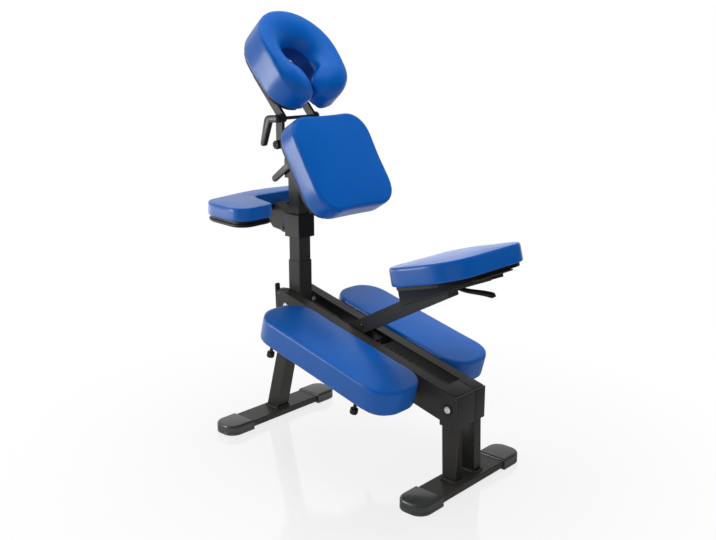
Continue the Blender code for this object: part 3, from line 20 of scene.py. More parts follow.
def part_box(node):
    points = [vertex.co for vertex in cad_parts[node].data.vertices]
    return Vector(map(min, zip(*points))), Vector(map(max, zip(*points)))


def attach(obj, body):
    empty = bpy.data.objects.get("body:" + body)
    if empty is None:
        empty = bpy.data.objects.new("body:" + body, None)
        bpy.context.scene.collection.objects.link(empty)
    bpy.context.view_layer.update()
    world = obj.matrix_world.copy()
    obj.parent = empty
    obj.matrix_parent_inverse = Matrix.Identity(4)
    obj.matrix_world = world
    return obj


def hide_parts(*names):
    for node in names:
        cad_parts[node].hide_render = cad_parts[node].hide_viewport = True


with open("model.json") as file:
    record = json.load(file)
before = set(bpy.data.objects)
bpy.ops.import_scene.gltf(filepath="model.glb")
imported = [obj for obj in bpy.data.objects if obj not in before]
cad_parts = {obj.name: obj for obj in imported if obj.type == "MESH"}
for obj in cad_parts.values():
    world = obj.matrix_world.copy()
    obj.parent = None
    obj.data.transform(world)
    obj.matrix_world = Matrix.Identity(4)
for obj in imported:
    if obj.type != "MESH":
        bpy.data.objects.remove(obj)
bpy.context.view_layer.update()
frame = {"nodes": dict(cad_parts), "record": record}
nodes = frame["nodes"]

# %% [markdown]
# ## Camera
# A photograph's view has a place, a direction and a focal length. All three follow from points on
# the chair whose real places are known. A focal length in pixels turns into a lens in millimetres
# when it is scaled by the sensor's width over the picture's width.

# %% Set the camera
PICTURE_WIDTH = 716  # pixels
FOCAL_LENGTH = 913  # pixels
SENSOR_WIDTH = 36.0  # millimetres
CAMERA_PLACE = (-1.863, -1.6632, 1.149)
CAMERA_LOOK = Vector((0.7195, 0.6520, -0.2392))

scene = bpy.context.scene
lens = bpy.data.cameras.new("studio_camera")
lens.sensor_fit = "HORIZONTAL"
lens.sensor_width = SENSOR_WIDTH
lens.lens = FOCAL_LENGTH / PICTURE_WIDTH * SENSOR_WIDTH
camera = bpy.data.objects.new("studio_camera", lens)
camera.location = CAMERA_PLACE
camera.rotation_euler = CAMERA_LOOK.to_track_quat("-Z", "Y").to_euler()
scene.collection.objects.link(camera)
scene.camera = camera
print("lens:", round(lens.lens, 1), "mm")

# %% [markdown]
# ## Helpers for materials
# Colours are written as sRGB hex codes, as in a paint program, but a shader counts in linear
# light, so one function converts them. Another adds a node, sets it up and links it, so that a
# material reads from top to bottom like a recipe. Two small ones clear a node tree and turn a real
# size into a texture's scale.


# %% Colours and nodes
def linear(code):
    """A linear RGBA colour from an sRGB hex code."""
    channels = [int(code[i : i + 2], 16) / 255 for i in (1, 3, 5)]
    light = [c / 12.92 if c <= 0.04045 else ((c + 0.055) / 1.055) ** 2.4 for c in channels]
    return (*light, 1.0)


def add_node(tree, kind, inputs, **settings):
    """A new shader node. An input takes a value, an output, or a node for its first enabled output."""
    node = tree.nodes.new("ShaderNode" + kind)
    for name, value in settings.items():
        setattr(node, name, value)
    for name, value in inputs.items():
        if isinstance(value, bpy.types.Node):
            value = next(output for output in value.outputs if output.enabled)
        if isinstance(value, bpy.types.NodeSocket):
            tree.links.new(value, node.inputs[name])
        else:
            node.inputs[name].default_value = value
    return node


def empty_tree(owner):
    """A material's or a world's node tree with nothing in it."""
    owner.use_nodes = True
    owner.node_tree.nodes.clear()
    return owner.node_tree


def per_metre(millimetres):
    """The texture scale that repeats a pattern at this real size."""
    return 1000.0 / millimetres


print("middle grey in linear light:", [round(c, 3) for c in linear("#808080")])

# %% [markdown]
# ## Room
# The photograph was taken in front of white paper, in a room that is darker behind the camera. The
# world is therefore white where the camera looks at it directly, and for reflections it runs from a
# bright backdrop to near black on the camera's side. It gives only a little diffuse light.

# %% Build the room
scene.view_settings.view_transform = "Standard"
WHITE = linear("#ffffff")
ROOM_LIGHT = 0.06  # diffuse light from all round
ROOM_DARK = 0.015  # how bright the camera's side of the room mirrors
ROOM_BRIGHT = 0.72  # how bright the backdrop mirrors
ROOM_SPAN = (-0.35, 0.85)  # the Y of a direction, from the dark side to the backdrop

world = bpy.data.worlds.new("white_studio")
scene.world = world
world.cycles.sampling_method = "NONE"  # its light differs by kind of ray, so only rays find it
tree = empty_tree(world)
ray = add_node(tree, "LightPath", {}).outputs
sharp = add_node(
    tree, "Math", {0: ray["Is Glossy Ray"], 1: ray["Is Transmission Ray"]}, operation="MAXIMUM"
)
direction = add_node(tree, "TexCoord", {}).outputs["Generated"]
split = add_node(tree, "SeparateXYZ", {"Vector": direction})
backdrop = add_node(
    tree,
    "MapRange",
    {
        "Value": split.outputs["Y"],
        "From Min": ROOM_SPAN[0],
        "From Max": ROOM_SPAN[1],
        "To Min": ROOM_DARK,
        "To Max": ROOM_BRIGHT,
    },
    interpolation_type="SMOOTHSTEP",
)
mirrored = add_node(tree, "Mix", {"Factor": sharp, "A": ROOM_LIGHT, "B": backdrop})
seen = add_node(tree, "Math", {0: ray["Is Camera Ray"], 1: mirrored}, operation="MAXIMUM")
background = add_node(tree, "Background", {"Color": WHITE, "Strength": seen})
add_node(tree, "OutputWorld", {"Surface": background})
print("room brightness in reflections:", ROOM_DARK, "to", ROOM_BRIGHT)

# %% [markdown]
# ## Paper
# The floor is seamless white paper with a little gloss. Seen directly it is mostly plain white, so
# that the soft shadow of the feet stays pale, and near the chair it shows a faint mirror image of
# them. Both fade with distance, which hides the horizon. In reflections the paper runs from dark on
# the camera's side to very bright far behind the chair. Its place decides that, and a Light Path
# node tells the kinds of ray apart.

# %% White paper
PAPER = "#f7f7f7"
PAPER_FIBRE = 60.0  # millimetres, clumps of fibre
PAPER_ROUGHNESS = (0.07, 0.11)
SHADOW_SHARE = 0.13  # how much of the floor's real shading the camera sees near the chair
FLOOR_GLEAM = 0.10  # how much of the chair's mirror image the camera sees there
FADE_START = 0.45  # from this distance both fade
FADE_END = 1.25  # beyond this distance the paper is plain white
FLOOR_MIRROR = 3.0  # how bright the far paper behind the chair mirrors
MIRROR_SPAN = (-1.2, 8.0)  # the Y between which that brightness grows

paper = bpy.data.materials.new("white_seamless_paper")
paper.cycles.emission_sampling = "NONE"
tree = empty_tree(paper)
place = add_node(tree, "TexCoord", {}).outputs["Object"]
fibre = add_node(tree, "TexNoise", {"Vector": place, "Scale": per_metre(PAPER_FIBRE), "Detail": 3.0})
tooth = add_node(
    tree, "MapRange", {"Value": fibre, "To Min": PAPER_ROUGHNESS[0], "To Max": PAPER_ROUGHNESS[1]}
)
sheet = add_node(
    tree, "BsdfPrincipled", {"Base Color": linear(PAPER), "Roughness": tooth, "Specular IOR Level": 0.22}
)
white = add_node(tree, "Emission", {"Color": WHITE, "Strength": 1.0})
ray = add_node(tree, "LightPath", {}).outputs
direct = add_node(
    tree, "Math", {0: ray["Is Camera Ray"], 1: ray["Is Transmission Ray"]}, operation="MAXIMUM"
)
distance = add_node(tree, "VectorMath", {0: place}, operation="LENGTH")
near = add_node(
    tree,
    "MapRange",
    {"Value": distance, "From Min": FADE_START, "From Max": FADE_END, "To Min": 1.0, "To Max": 0.0},
    interpolation_type="SMOOTHSTEP",
)
plain = add_node(tree, "Math", {0: near, 1: -SHADOW_SHARE, 2: 1.0}, operation="MULTIPLY_ADD")
share = add_node(tree, "Math", {0: direct, 1: plain}, operation="MULTIPLY")
blend = add_node(tree, "MixShader", {"Fac": share, 1: sheet, 2: white})
gleam = add_node(tree, "BsdfGlossy", {"Color": WHITE, "Roughness": tooth})
faint = add_node(tree, "Math", {0: near, 1: FLOOR_GLEAM}, operation="MULTIPLY")
seen = add_node(tree, "Math", {0: ray["Is Camera Ray"], 1: faint}, operation="MULTIPLY")
polished = add_node(tree, "MixShader", {"Fac": seen, 1: blend, 2: gleam})
spot = add_node(tree, "SeparateXYZ", {"Vector": place})
depth = add_node(
    tree,
    "MapRange",
    {
        "Value": spot.outputs["Y"],
        "From Min": MIRROR_SPAN[0],
        "From Max": MIRROR_SPAN[1],
        "To Min": ROOM_DARK,
        "To Max": FLOOR_MIRROR,
    },
)
mirror = add_node(tree, "Emission", {"Color": WHITE, "Strength": depth})
whole = add_node(tree, "MixShader", {"Fac": ray["Is Glossy Ray"], 1: polished, 2: mirror})
add_node(tree, "OutputMaterial", {"Surface": whole})
print("nodes in the paper:", len(tree.nodes))

# %% [markdown]
# ## Floor
# The paper reaches far past the picture on every side. It lies a hair below the feet, because two
# surfaces in one place would flicker. It belongs to the stage and not to the chair.

# %% Lay the floor
FLOOR_RADIUS = 14.0
FLOOR_DROP = -0.0004

disc = bmesh.new()
bmesh.ops.create_circle(disc, cap_ends=True, segments=96, radius=FLOOR_RADIUS)
bmesh.ops.translate(disc, verts=disc.verts, vec=(0.0, 0.0, FLOOR_DROP))
floor_mesh = bpy.data.meshes.new("paper_floor")
disc.to_mesh(floor_mesh)
disc.free()
floor_mesh.materials.append(paper)
floor = bpy.data.objects.new("paper_floor", floor_mesh)
scene.collection.objects.link(floor)
print("floor radius:", FLOOR_RADIUS, "m")

# %% [markdown]
# ## Lamps
# The left sides of the pads are pale, and their fronts are deep blue. That takes one softbox at the
# left, a little behind the chair, which both lights and mirrors in the glossy vinyl. Three wide
# panels light the rest evenly. They don't show in reflections, which would turn the fronts pale.

# %% Place the lamps
LAMP_AIM = Vector((0.0, 0.0, 0.75))


def softbox(name, place, width, height, power):
    """A rectangular lamp that faces the chair."""
    data = bpy.data.lights.new(name, "AREA")
    data.shape = "RECTANGLE"
    data.size = width
    data.size_y = height
    data.energy = power
    lamp = bpy.data.objects.new(name, data)
    lamp.location = place
    lamp.rotation_euler = (LAMP_AIM - Vector(place)).to_track_quat("-Z", "Y").to_euler()
    lamp.visible_camera = False
    scene.collection.objects.link(lamp)
    return lamp


softbox("left_softbox", (-1.75, 1.35, 0.88), 0.9, 0.7, 16.0)
panels = [
    softbox("overhead_panel", (0.3, 0.2, 3.4), 3.0, 3.0, 120.0),
    softbox("front_panel", (-1.6, -3.2, 1.0), 4.0, 2.0, 42.0),
    softbox("right_panel", (3.2, -0.6, 1.6), 3.0, 3.0, 34.0),
]
for panel in panels:
    panel.visible_glossy = False

# %% [markdown]
# ## Vinyl
# The covers are PVC-coated fabric. The coating is embossed with a fine leather grain on a heated
# roller, which breaks the reflection into a soft sheen. The grain is a cell pattern whose borders
# are pressed in. Real cells are about 1 mm across; they are drawn at 2.4 mm so that they show. A
# thin clear lacquer lies over it, the shader's coat, and turns pale where it is seen at a low angle.

# %% Blue vinyl
VINYL_GRAIN = 2.4  # millimetres
VINYL_BORDER = 0.25  # how far a cell's pressed border reaches in, in cells
VINYL_CLOUD = 140.0  # millimetres, patches where the dye and the gloss vary
VINYL_DARK = "#0055aa"
VINYL_LIGHT = "#025db5"
VINYL_ROUGHNESS = (0.38, 0.46)
RELIEF_DEPTH = 0.0004  # for all the fine patterns that a Bump node presses in

vinyl = bpy.data.materials.new("embossed_pvc_vinyl_blue")
tree = empty_tree(vinyl)
place = add_node(tree, "TexCoord", {}).outputs["Object"]
cloud = add_node(tree, "TexNoise", {"Vector": place, "Scale": per_metre(VINYL_CLOUD), "Detail": 3.0})
dye = add_node(
    tree, "Mix", {"Factor": cloud, "A": linear(VINYL_DARK), "B": linear(VINYL_LIGHT)}, data_type="RGBA"
)
cells = add_node(
    tree, "TexVoronoi", {"Vector": place, "Scale": per_metre(VINYL_GRAIN)}, feature="DISTANCE_TO_EDGE"
)
pebble = add_node(
    tree,
    "MapRange",
    {"Value": cells, "From Min": 0.0, "From Max": VINYL_BORDER},
    interpolation_type="SMOOTHSTEP",
)
emboss = add_node(tree, "Bump", {"Height": pebble, "Strength": 0.10, "Distance": RELIEF_DEPTH})
sheen = add_node(
    tree, "MapRange", {"Value": cloud, "To Min": VINYL_ROUGHNESS[0], "To Max": VINYL_ROUGHNESS[1]}
)
cover = add_node(
    tree,
    "BsdfPrincipled",
    {
        "Base Color": dye,
        "Roughness": sheen,
        "IOR": 1.5,
        "Specular IOR Level": 0.25,
        "Coat Weight": 0.6,
        "Coat Roughness": 0.24,
        "Normal": emboss,
    },
)
add_node(tree, "OutputMaterial", {"Surface": cover})
print("vinyl grain scale:", per_metre(VINYL_GRAIN))

# %% [markdown]
# ## Powder-coated steel
# The tubes and plates are mild steel under baked black powder. The powder melts into a satin skin
# with a faint orange peel, and it is thinnest on edges, where handling polishes it. A Bevel node
# compares the rounded normal with the real one, and so finds those edges without any painting.
# In the beam's slot and the other hollows of one piece, the coat is darkened as painted shade. Ambient
# occlusion within one piece finds such depths.

# %% Black powder coat
PEEL = 3.0  # millimetres, the real 1 mm peel drawn coarser so that it shows
RUB = 45.0  # millimetres, patches that hands have rubbed
EDGE_REACH = 0.0016  # how far from an edge its normals are rounded
EDGE_TURN = (0.995, 0.86)  # cosines of that rounding, from a flat face to a worn edge
EDGE_WEAR = 0.6  # how much of the worn colour an edge takes at most
COAT_ROUGHNESS = (0.30, 0.42)
COAT = "#383735"
COAT_WORN = "#4e4c4a"
# painted shade in hollows: its colour, how far away a wall still counts as near, and how open a place
# must be to stay unshaded
COAT_PAINTED_SHADE = "#0a0a0a"
PAINTED_SHADE_REACH = 0.12  # how far away a wall still counts as near
PAINTED_SHADE_OPEN = (0.55, 0.95)  # how open a place is, from full painted shade in a depth to none on an open face

powder_coat = bpy.data.materials.new("powder_coated_steel_black")
tree = empty_tree(powder_coat)
place = add_node(tree, "TexCoord", {}).outputs["Object"]
peel = add_node(tree, "TexNoise", {"Vector": place, "Scale": per_metre(PEEL), "Detail": 2.0})
rub = add_node(tree, "TexNoise", {"Vector": place, "Scale": per_metre(RUB), "Detail": 4.0})
rounded = add_node(tree, "Bevel", {"Radius": EDGE_REACH}, samples=4)
shape = add_node(tree, "NewGeometry", {})
turn = add_node(tree, "VectorMath", {0: rounded, 1: shape.outputs["Normal"]}, operation="DOT_PRODUCT")
edge = add_node(
    tree,
    "MapRange",
    {
        "Value": turn,
        "From Min": EDGE_TURN[0],
        "From Max": EDGE_TURN[1],
        "To Max": EDGE_WEAR,
    },
)
worn = add_node(tree, "Math", {0: edge, 1: rub}, operation="MULTIPLY")
skin = add_node(
    tree, "Mix", {"Factor": worn, "A": linear(COAT), "B": linear(COAT_WORN)}, data_type="RGBA"
)
# painted shade: occlusion within the piece darkens its hollows, such as the beam's slot
depths = add_node(tree, "AmbientOcclusion", {"Distance": PAINTED_SHADE_REACH}, samples=8, only_local=True)
unshaded = add_node(
    tree,
    "MapRange",
    {"Value": depths.outputs["AO"], "From Min": PAINTED_SHADE_OPEN[0], "From Max": PAINTED_SHADE_OPEN[1]},
)
shaded_skin = add_node(tree, "Mix", {"Factor": unshaded, "A": linear(COAT_PAINTED_SHADE), "B": skin}, data_type="RGBA")
satin = add_node(
    tree, "MapRange", {"Value": rub, "To Min": COAT_ROUGHNESS[0], "To Max": COAT_ROUGHNESS[1]}
)
orange_peel = add_node(
    tree, "Bump", {"Height": peel, "Strength": 0.08, "Distance": RELIEF_DEPTH, "Normal": rounded}
)
steel = add_node(
    tree,
    "BsdfPrincipled",
    {
        "Base Color": shaded_skin,
        "Roughness": satin,
        "IOR": 1.5,
        "Specular IOR Level": 0.28,
        "Normal": orange_peel,
    },
)
add_node(tree, "OutputMaterial", {"Surface": steel})
print("orange peel scale:", per_metre(PEEL))

# %% [markdown]
# ## Moulded plastic, board and zinc
# Collars and knobs are moulded ABS, whose steel mould was spark-eroded to a fine matt texture. The
# levers are nylon from a polished mould, and the foot caps are a softer moulded rubber. The pads'
# boards are painted plywood, with the grain just showing under the paint. Bolts are zinc-plated
# steel, a bright and slightly clouded metal, apart from two pins that are blackened in hot salts.
# The toothed rack in the beam is bare steel, rubbed by the seat, and the lower wall of the face's
# opening gets a dark navy painted shade. All of them share one layout, so a function takes what differs.

# %% Seven more finishes and a painted shade
PATCH = 30.0  # millimetres, patches where colour and gloss vary
GLOSS_SPREAD = 0.06  # how much the roughness varies either way


def small_finish(name, colour, worn, grain, stretch, rough, bump, metallic=0.0, specular=0.5):
    """A finish with a grain in millimetres, stretched along X, that varies in colour and gloss."""
    material = bpy.data.materials.new(name)
    tree = empty_tree(material)
    place = add_node(tree, "TexCoord", {}).outputs["Object"]
    along = add_node(tree, "Mapping", {"Vector": place, "Scale": (1.0 / stretch, 1.0, 1.0)})
    grains = add_node(tree, "TexNoise", {"Vector": along, "Scale": per_metre(grain), "Detail": 3.0})
    patches = add_node(tree, "TexNoise", {"Vector": place, "Scale": per_metre(PATCH), "Detail": 3.0})
    tone = add_node(
        tree, "Mix", {"Factor": patches, "A": linear(colour), "B": linear(worn)}, data_type="RGBA"
    )
    gloss = add_node(
        tree,
        "MapRange",
        {"Value": patches, "To Min": rough - GLOSS_SPREAD, "To Max": rough + GLOSS_SPREAD},
    )
    rounded = add_node(tree, "Bevel", {"Radius": EDGE_REACH}, samples=4)
    relief = add_node(
        tree, "Bump", {"Height": grains, "Strength": bump, "Distance": RELIEF_DEPTH, "Normal": rounded}
    )
    surface = add_node(
        tree,
        "BsdfPrincipled",
        {
            "Base Color": tone,
            "Roughness": gloss,
            "Metallic": metallic,
            "Specular IOR Level": specular,
            "Normal": relief,
        },
    )
    add_node(tree, "OutputMaterial", {"Surface": surface})
    return material


# name, two colours, grain, stretch, roughness and bump, then metallic and specular where they differ
abs_plastic = small_finish("spark_textured_abs_black", "#161718", "#1e1f20", 1.2, 1.0, 0.44, 0.12)
nylon = small_finish("polished_nylon_black", "#2a2a2b", "#343435", 1.2, 1.0, 0.34, 0.06, 0.0, 0.6)
rubber = small_finish("moulded_rubber_black", "#38393a", "#434445", 1.6, 1.0, 0.20, 0.05, 0.0, 0.85)
# painted shade: a dark navy for the deep wall of the face's opening, which lies in shade
opening_shade = small_finish("painted_shade_navy", "#0a347a", "#0e3c88", 1.8, 1.0, 0.85, 0.30, 0.0, 0.2)
bare_steel = small_finish("worn_mild_steel", "#5c5e61", "#727477", 1.5, 1.0, 0.38, 0.05, 1.0)
plywood = small_finish("painted_plywood_black", "#131314", "#1c1b1b", 2.0, 9.0, 0.50, 0.25)
zinc = small_finish("zinc_plated_steel", "#eef0f1", "#f8f9f9", 1.5, 1.0, 0.40, 0.03, 0.15)
black_oxide = small_finish("black_oxide_steel", "#1d1d1e", "#2a2a2b", 1.2, 1.0, 0.36, 0.05, 0.0, 0.6)
FINISHES = {
    "vinyl": vinyl,
    "coated_steel": powder_coat,
    "plastic": abs_plastic,
    "board": plywood,
    "zinc": zinc,
}
for node in nodes.values():
    for held in node.material_slots:
        held.material = FINISHES[held.material.name]
nodes["seat_rack"].material_slots[0].material = bare_steel
print("finishes:", sorted(m.name for m in FINISHES.values()))

# %% [markdown]
# ## Helpers for new pieces
# Every new piece starts as a bmesh. When its shape is done, doubles are merged, normals are turned
# outwards, and the mesh becomes an object at the origin that rides on one body of the chair.

# %% Make and place a piece
MERGE = 1e-6  # metres, points closer than this become one
CAD_MERGE = 1e-5  # the same for points of the CAD model
CREASE = 35.0  # degrees, the fold from which an edge stays sharp
ROUND = 180.0  # the crease of a piece with no sharp edges
LEFT = Vector((-1.0, 0.0, 0.0))
RIGHT = Vector((1.0, 0.0, 0.0))
AHEAD = Vector((0.0, 1.0, 0.0))
UP = Vector((0.0, 0.0, 1.0))


def bmesh_of(node):
    """A merged copy of a CAD node's mesh."""
    shape = bmesh.new()
    shape.from_mesh(nodes[node].data)
    bmesh.ops.remove_doubles(shape, verts=shape.verts, dist=CAD_MERGE)
    return shape


def make_piece(name, shape, material, body, crease=CREASE):
    """Turns a bmesh into a piece that rides on a body."""
    bmesh.ops.remove_doubles(shape, verts=shape.verts, dist=MERGE)
    bmesh.ops.recalc_face_normals(shape, faces=shape.faces)
    mesh = bpy.data.meshes.new(name)
    shape.to_mesh(mesh)
    shape.free()
    mesh.materials.append(material)
    mesh.shade_smooth()
    mesh.set_sharp_from_angle(angle=math.radians(crease))
    piece = bpy.data.objects.new(name, mesh)
    scene.collection.objects.link(piece)
    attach(piece, body)
    return piece


print("CAD triangles:", sum(len(node.data.polygons) for node in nodes.values()))

# %% [markdown]
# ## Helpers for shapes
# Some steps come back in many pieces: a level cut, rounded edges, an extrusion, a turn about X and a
# move. A level cut through a solid gives its outline, because the plane keeps only the cut itself.
# The outline's points follow the CAD triangles, so they are spread evenly and drawn a little smooth.


# %% Cut, round, extrude and move
def cut(shape, level, **cleared):
    """Cuts a bmesh at a height, and clears away the sides that are named."""
    geom = shape.verts[:] + shape.edges[:] + shape.faces[:]
    bmesh.ops.bisect_plane(shape, geom=geom, plane_co=level * UP, plane_no=UP, **cleared)


def cut_ring(shape, level):
    """The points round a closed bmesh at a level, in order."""
    cut(shape, level, clear_inner=True, clear_outer=True)
    step = shape.edges[:][0].verts[0]
    ring = [step]
    used = set()
    while True:
        onward = [e for e in step.link_edges if e not in used]
        if not onward:
            break
        used.add(onward[0])
        step = onward[0].other_vert(step)
        ring.append(step)
    return np.array([v.co[:] for v in ring[:-1]])


def evened(ring, spacing, passes):
    """A closed ring's points at even steps along it, each drawn towards its neighbours."""
    closed = np.vstack([ring, ring[:1]])
    along = np.concatenate([[0.0], np.cumsum(np.linalg.norm(np.diff(closed, axis=0), axis=1))])
    steps = np.linspace(0.0, along[-1], round(along[-1] / spacing), endpoint=False)
    ring = np.stack([np.interp(steps, along, closed[:, axis]) for axis in range(3)], axis=1)
    for _ in range(passes):
        ring = (np.roll(ring, 1, axis=0) + 2 * ring + np.roll(ring, -1, axis=0)) / 4
    return ring


def edges_at(shape, axis, level):
    """The edges that lie wholly at a level along an axis."""
    return [e for e in shape.edges if all(abs(v.co[axis] - level) < CAD_MERGE for v in e.verts)]


def bevel(shape, edges, width, segments):
    """Rounds some edges of a bmesh."""
    bmesh.ops.bevel(
        shape, geom=edges, offset=width, segments=segments, profile=0.5, affect="EDGES", material=-1
    )


def move(shape, vector):
    """Moves a whole bmesh."""
    bmesh.ops.translate(shape, verts=shape.verts, vec=vector)


def lean(shape, degrees):
    """Turns a whole bmesh about X."""
    bmesh.ops.rotate(shape, verts=shape.verts, matrix=Matrix.Rotation(math.radians(degrees), 3, "X"))


def extrude(shape, faces, vector):
    """Makes a solid of some faces, which stay behind as its other end."""
    grown = bmesh.ops.extrude_face_region(shape, geom=faces)
    lid = [v for v in grown["geom"] if isinstance(v, bmesh.types.BMVert)]
    bmesh.ops.translate(shape, verts=lid, vec=vector)


print("edges of the beam:", len(bmesh_of("main_beam").edges))

# %% [markdown]
# ## Pads as firm blocks
# Each pad is a block of firm foam on a board, with vinyl stretched over it. The real pads are boxy:
# upright sides, a nearly flat top and a tight edge between them. The CAD solid gives the outline,
# cut at its widest level. That outline is extruded, its rim is rolled, and the block is remeshed
# into small even quads for the cloth. A remesh blunts edges, so each point goes back to the block.

# %% Cut the outlines and build the blocks
VOXEL = 0.004
WIDEST = 0.40  # the share of its height at which a CAD pad is widest
SINK = 0.0015  # how much lower a block starts, because the cloth makes it swell
RING_PASSES = 5
SOLE_ROLL = 0.003  # the rounding of the edge on the board
BEAM_LEAN = 14.5  # degrees from lying flat
SEAT_LEAN = -14.0
CHEST_LEAN = 59.0
FACE_LEAN = 48.5
Pad = namedtuple("Pad", "body slant trim roll swell pull")
PADS = {
    # body, lean, trim of the outline, edge roll, most swelling, pull-in of the sides
    "knee_pad_left": Pad("beam", BEAM_LEAN, 0.0018, 0.0075, 0.0035, 0.0012),
    "knee_pad_right": Pad("beam", BEAM_LEAN, 0.0018, 0.0075, 0.0035, 0.0012),
    "seat_pad": Pad("seat", SEAT_LEAN, 0.0018, 0.0065, 0.0035, 0.0015),
    "arm_pad": Pad("armrest", 0.0, 0.0018, 0.0065, 0.0030, 0.0),
    "chest_pad": Pad("chest_rest", CHEST_LEAN, 0.0022, 0.0095, 0.0045, 0.0040),
    "face_pad": Pad("face_cradle", FACE_LEAN, 0.0055, 0.0070, 0.0030, 0.0),
}


def pad_block(node, pad):
    """A block with upright sides on a pad's outline, laid flat on its board."""
    shape = bmesh_of(node)
    lean(shape, -pad.slant)
    heights = [v.co.z for v in shape.verts]
    bottom = min(heights)
    top = max(heights) - SINK
    ring = evened(cut_ring(shape, bottom + WIDEST * (top - bottom)), VOXEL, RING_PASSES)
    shape.free()
    block = bmesh.new()
    sole = block.faces.new([block.verts.new((x, y, bottom)) for x, y, _ in ring])
    low, high = ring.min(axis=0), ring.max(axis=0)
    smaller = [1.0 - 2 * pad.trim / (high[i] - low[i]) for i in (0, 1)]
    around = Matrix.Translation([-(low[0] + high[0]) / 2, -(low[1] + high[1]) / 2, 0.0])
    bmesh.ops.scale(block, verts=block.verts, vec=(*smaller, 1.0), space=around)
    extrude(block, [sole], (top - bottom) * UP)
    bevel(block, edges_at(block, 2, top), pad.roll, segments=5)
    bevel(block, edges_at(block, 2, bottom), SOLE_ROLL, segments=2)
    bmesh.ops.recalc_face_normals(block, faces=block.faces)
    return block


def remeshed(name, block):
    """An object of small even quads whose points lie on a block."""
    mesh = bpy.data.meshes.new(name)
    block.to_mesh(mesh)
    flat = bpy.data.objects.new(name, mesh)
    scene.collection.objects.link(flat)
    remesh = flat.modifiers.new("even_quads", "REMESH")
    remesh.mode = "VOXEL"
    remesh.voxel_size = VOXEL
    graph = bpy.context.evaluated_depsgraph_get()
    even = bpy.data.meshes.new_from_object(flat.evaluated_get(graph))
    flat.modifiers.clear()
    surface = BVHTree.FromBMesh(block)
    for vertex in even.vertices:
        vertex.co = surface.find_nearest(vertex.co)[0]
    flat.data = even
    return flat


flat_pads = {}
pad_tops = {}
for node, pad in PADS.items():
    block = pad_block(node, pad)
    pad_tops[node] = max(v.co.z for v in block.verts)
    flat_pads[node] = remeshed(node + "_flat", block)
    block.free()
print("quads per pad:", {node: len(flat.data.polygons) for node, flat in flat_pads.items()})

# %% [markdown]
# ## Blow up the covers
# A stretched cover pulls tight over the edges and bulges between them. Modelling that by hand looks
# stiff, so Blender's cloth does it. Pressure inside the closed cloth stands for the foam that pushes
# outwards. Gravity is off, because foam doesn't slump, and the face on the board is pinned. After 20
# frames the points' movement is scaled to a few millimetres, so that the pads stay boxy, and is
# averaged with its neighbours. Averaging the movement, and not the shape, keeps the edges crisp.

# %% Run the cloth
PRESSURE = 4.0
LAST_FRAME = 20
CALM_PASSES = 30
BED = 0.004  # the height above the board that the staples hold


def points_of(mesh):
    """A mesh's points as an array with three columns."""
    flat = np.empty(len(mesh.vertices) * 3, np.float32)
    mesh.vertices.foreach_get("co", flat)
    return flat.reshape(-1, 3)


def dress_in_cloth(flat):
    """Adds a cloth with inner pressure, held on the side of the board."""
    level = points_of(flat.data)[:, 2].min()
    held = flat.vertex_groups.new(name="board_side")
    held.add([v.index for v in flat.data.vertices if v.co.z < level + BED], 1.0, "REPLACE")
    cloth = flat.modifiers.new("cover", "CLOTH")
    cloth.settings.use_pressure = True
    cloth.settings.uniform_pressure_force = PRESSURE
    cloth.settings.effector_weights.gravity = 0.0
    cloth.settings.vertex_group_mass = held.name
    cloth.point_cache.frame_end = LAST_FRAME


def calmed(moves, edges):
    """Each point's movement averaged with that of its neighbours."""
    count = np.bincount(edges.ravel(), minlength=len(moves))[:, None]
    for _ in range(CALM_PASSES):
        total = np.zeros_like(moves)
        np.add.at(total, edges[:, 0], moves[edges[:, 1]])
        np.add.at(total, edges[:, 1], moves[edges[:, 0]])
        moves = (moves + total / count) / 2
    return moves


for flat in flat_pads.values():
    dress_in_cloth(flat)
for number in range(1, LAST_FRAME + 1):
    scene.frame_set(number)
graph = bpy.context.evaluated_depsgraph_get()
for node, pad in PADS.items():
    flat = flat_pads[node]
    start = points_of(flat.data)
    edges = np.array([e.vertices[:] for e in flat.data.edges])
    moves = calmed(points_of(flat.evaluated_get(graph).data) - start, edges)
    reach = float(np.linalg.norm(moves, axis=1).max())
    print(node, "moved up to", round(1000 * reach, 1), "mm")
    flat.modifiers.clear()
    flat.data.vertices.foreach_set("co", (start + moves * min(1.0, pad.swell / reach)).ravel())
scene.frame_set(1)

# %% [markdown]
# ## The face pad
# The face pad is a horseshoe. Its front rolls down into the opening like the edge of a bowl, and its
# two lobes round off towards the chin. Both scale the height while the pad lies flat, where up is Z.
# The lobes also lean together, which nearly closes the mouth between them. Deep in the opening the wall
# gets a painted shade, a dark navy second material on the same mesh, chosen face by face.

# %% Shape the face pad
FACE_OPENING = (0.053, 0.045)  # half the width and half the height of the face pad's opening
FACE_MOUTH = 0.021  # half the width of the gap between its lobes
BOWL_REACH = 0.080  # how far from the opening the roll of the front begins
BOWL_SHARE = 0.54  # how much of its thickness the pad loses at the opening
BOWL_PASSES = 6
CHIN_START = -0.030  # from the middle of the pad
CHIN_RUN = 0.110
CHIN_CORE = (0.064, -0.060)  # the middle of a lobe's round outer corner
CHIN_CORNER = 0.080
CHIN_REACH = 0.060  # how far from its outer edge a lobe is rounded off
CHIN_SHARE = 0.50  # how much of its thickness a lobe loses at its edge
MOUTH_START = -0.020  # below the middle, where the lobes begin to lean towards each other
MOUTH_RUN = 0.070
MOUTH_CLOSE = 0.014  # how far each lobe's inner wall leans over
MOUTH_REACH = 0.060  # how far from that wall the lean fades
# where the painted shade in the face's opening lies
OPENING_SHADE_HEIGHT = 0.044  # above the board
OPENING_SHADE_REACH = 0.012  # how far past the opening's outline its wall may lie
OPENING_SHADE_SLOPE = 0.85  # the normal's Z from which a face no longer counts as wall
LEAST_RING = 1e-3  # keeps the very middle of the opening from a division by zero


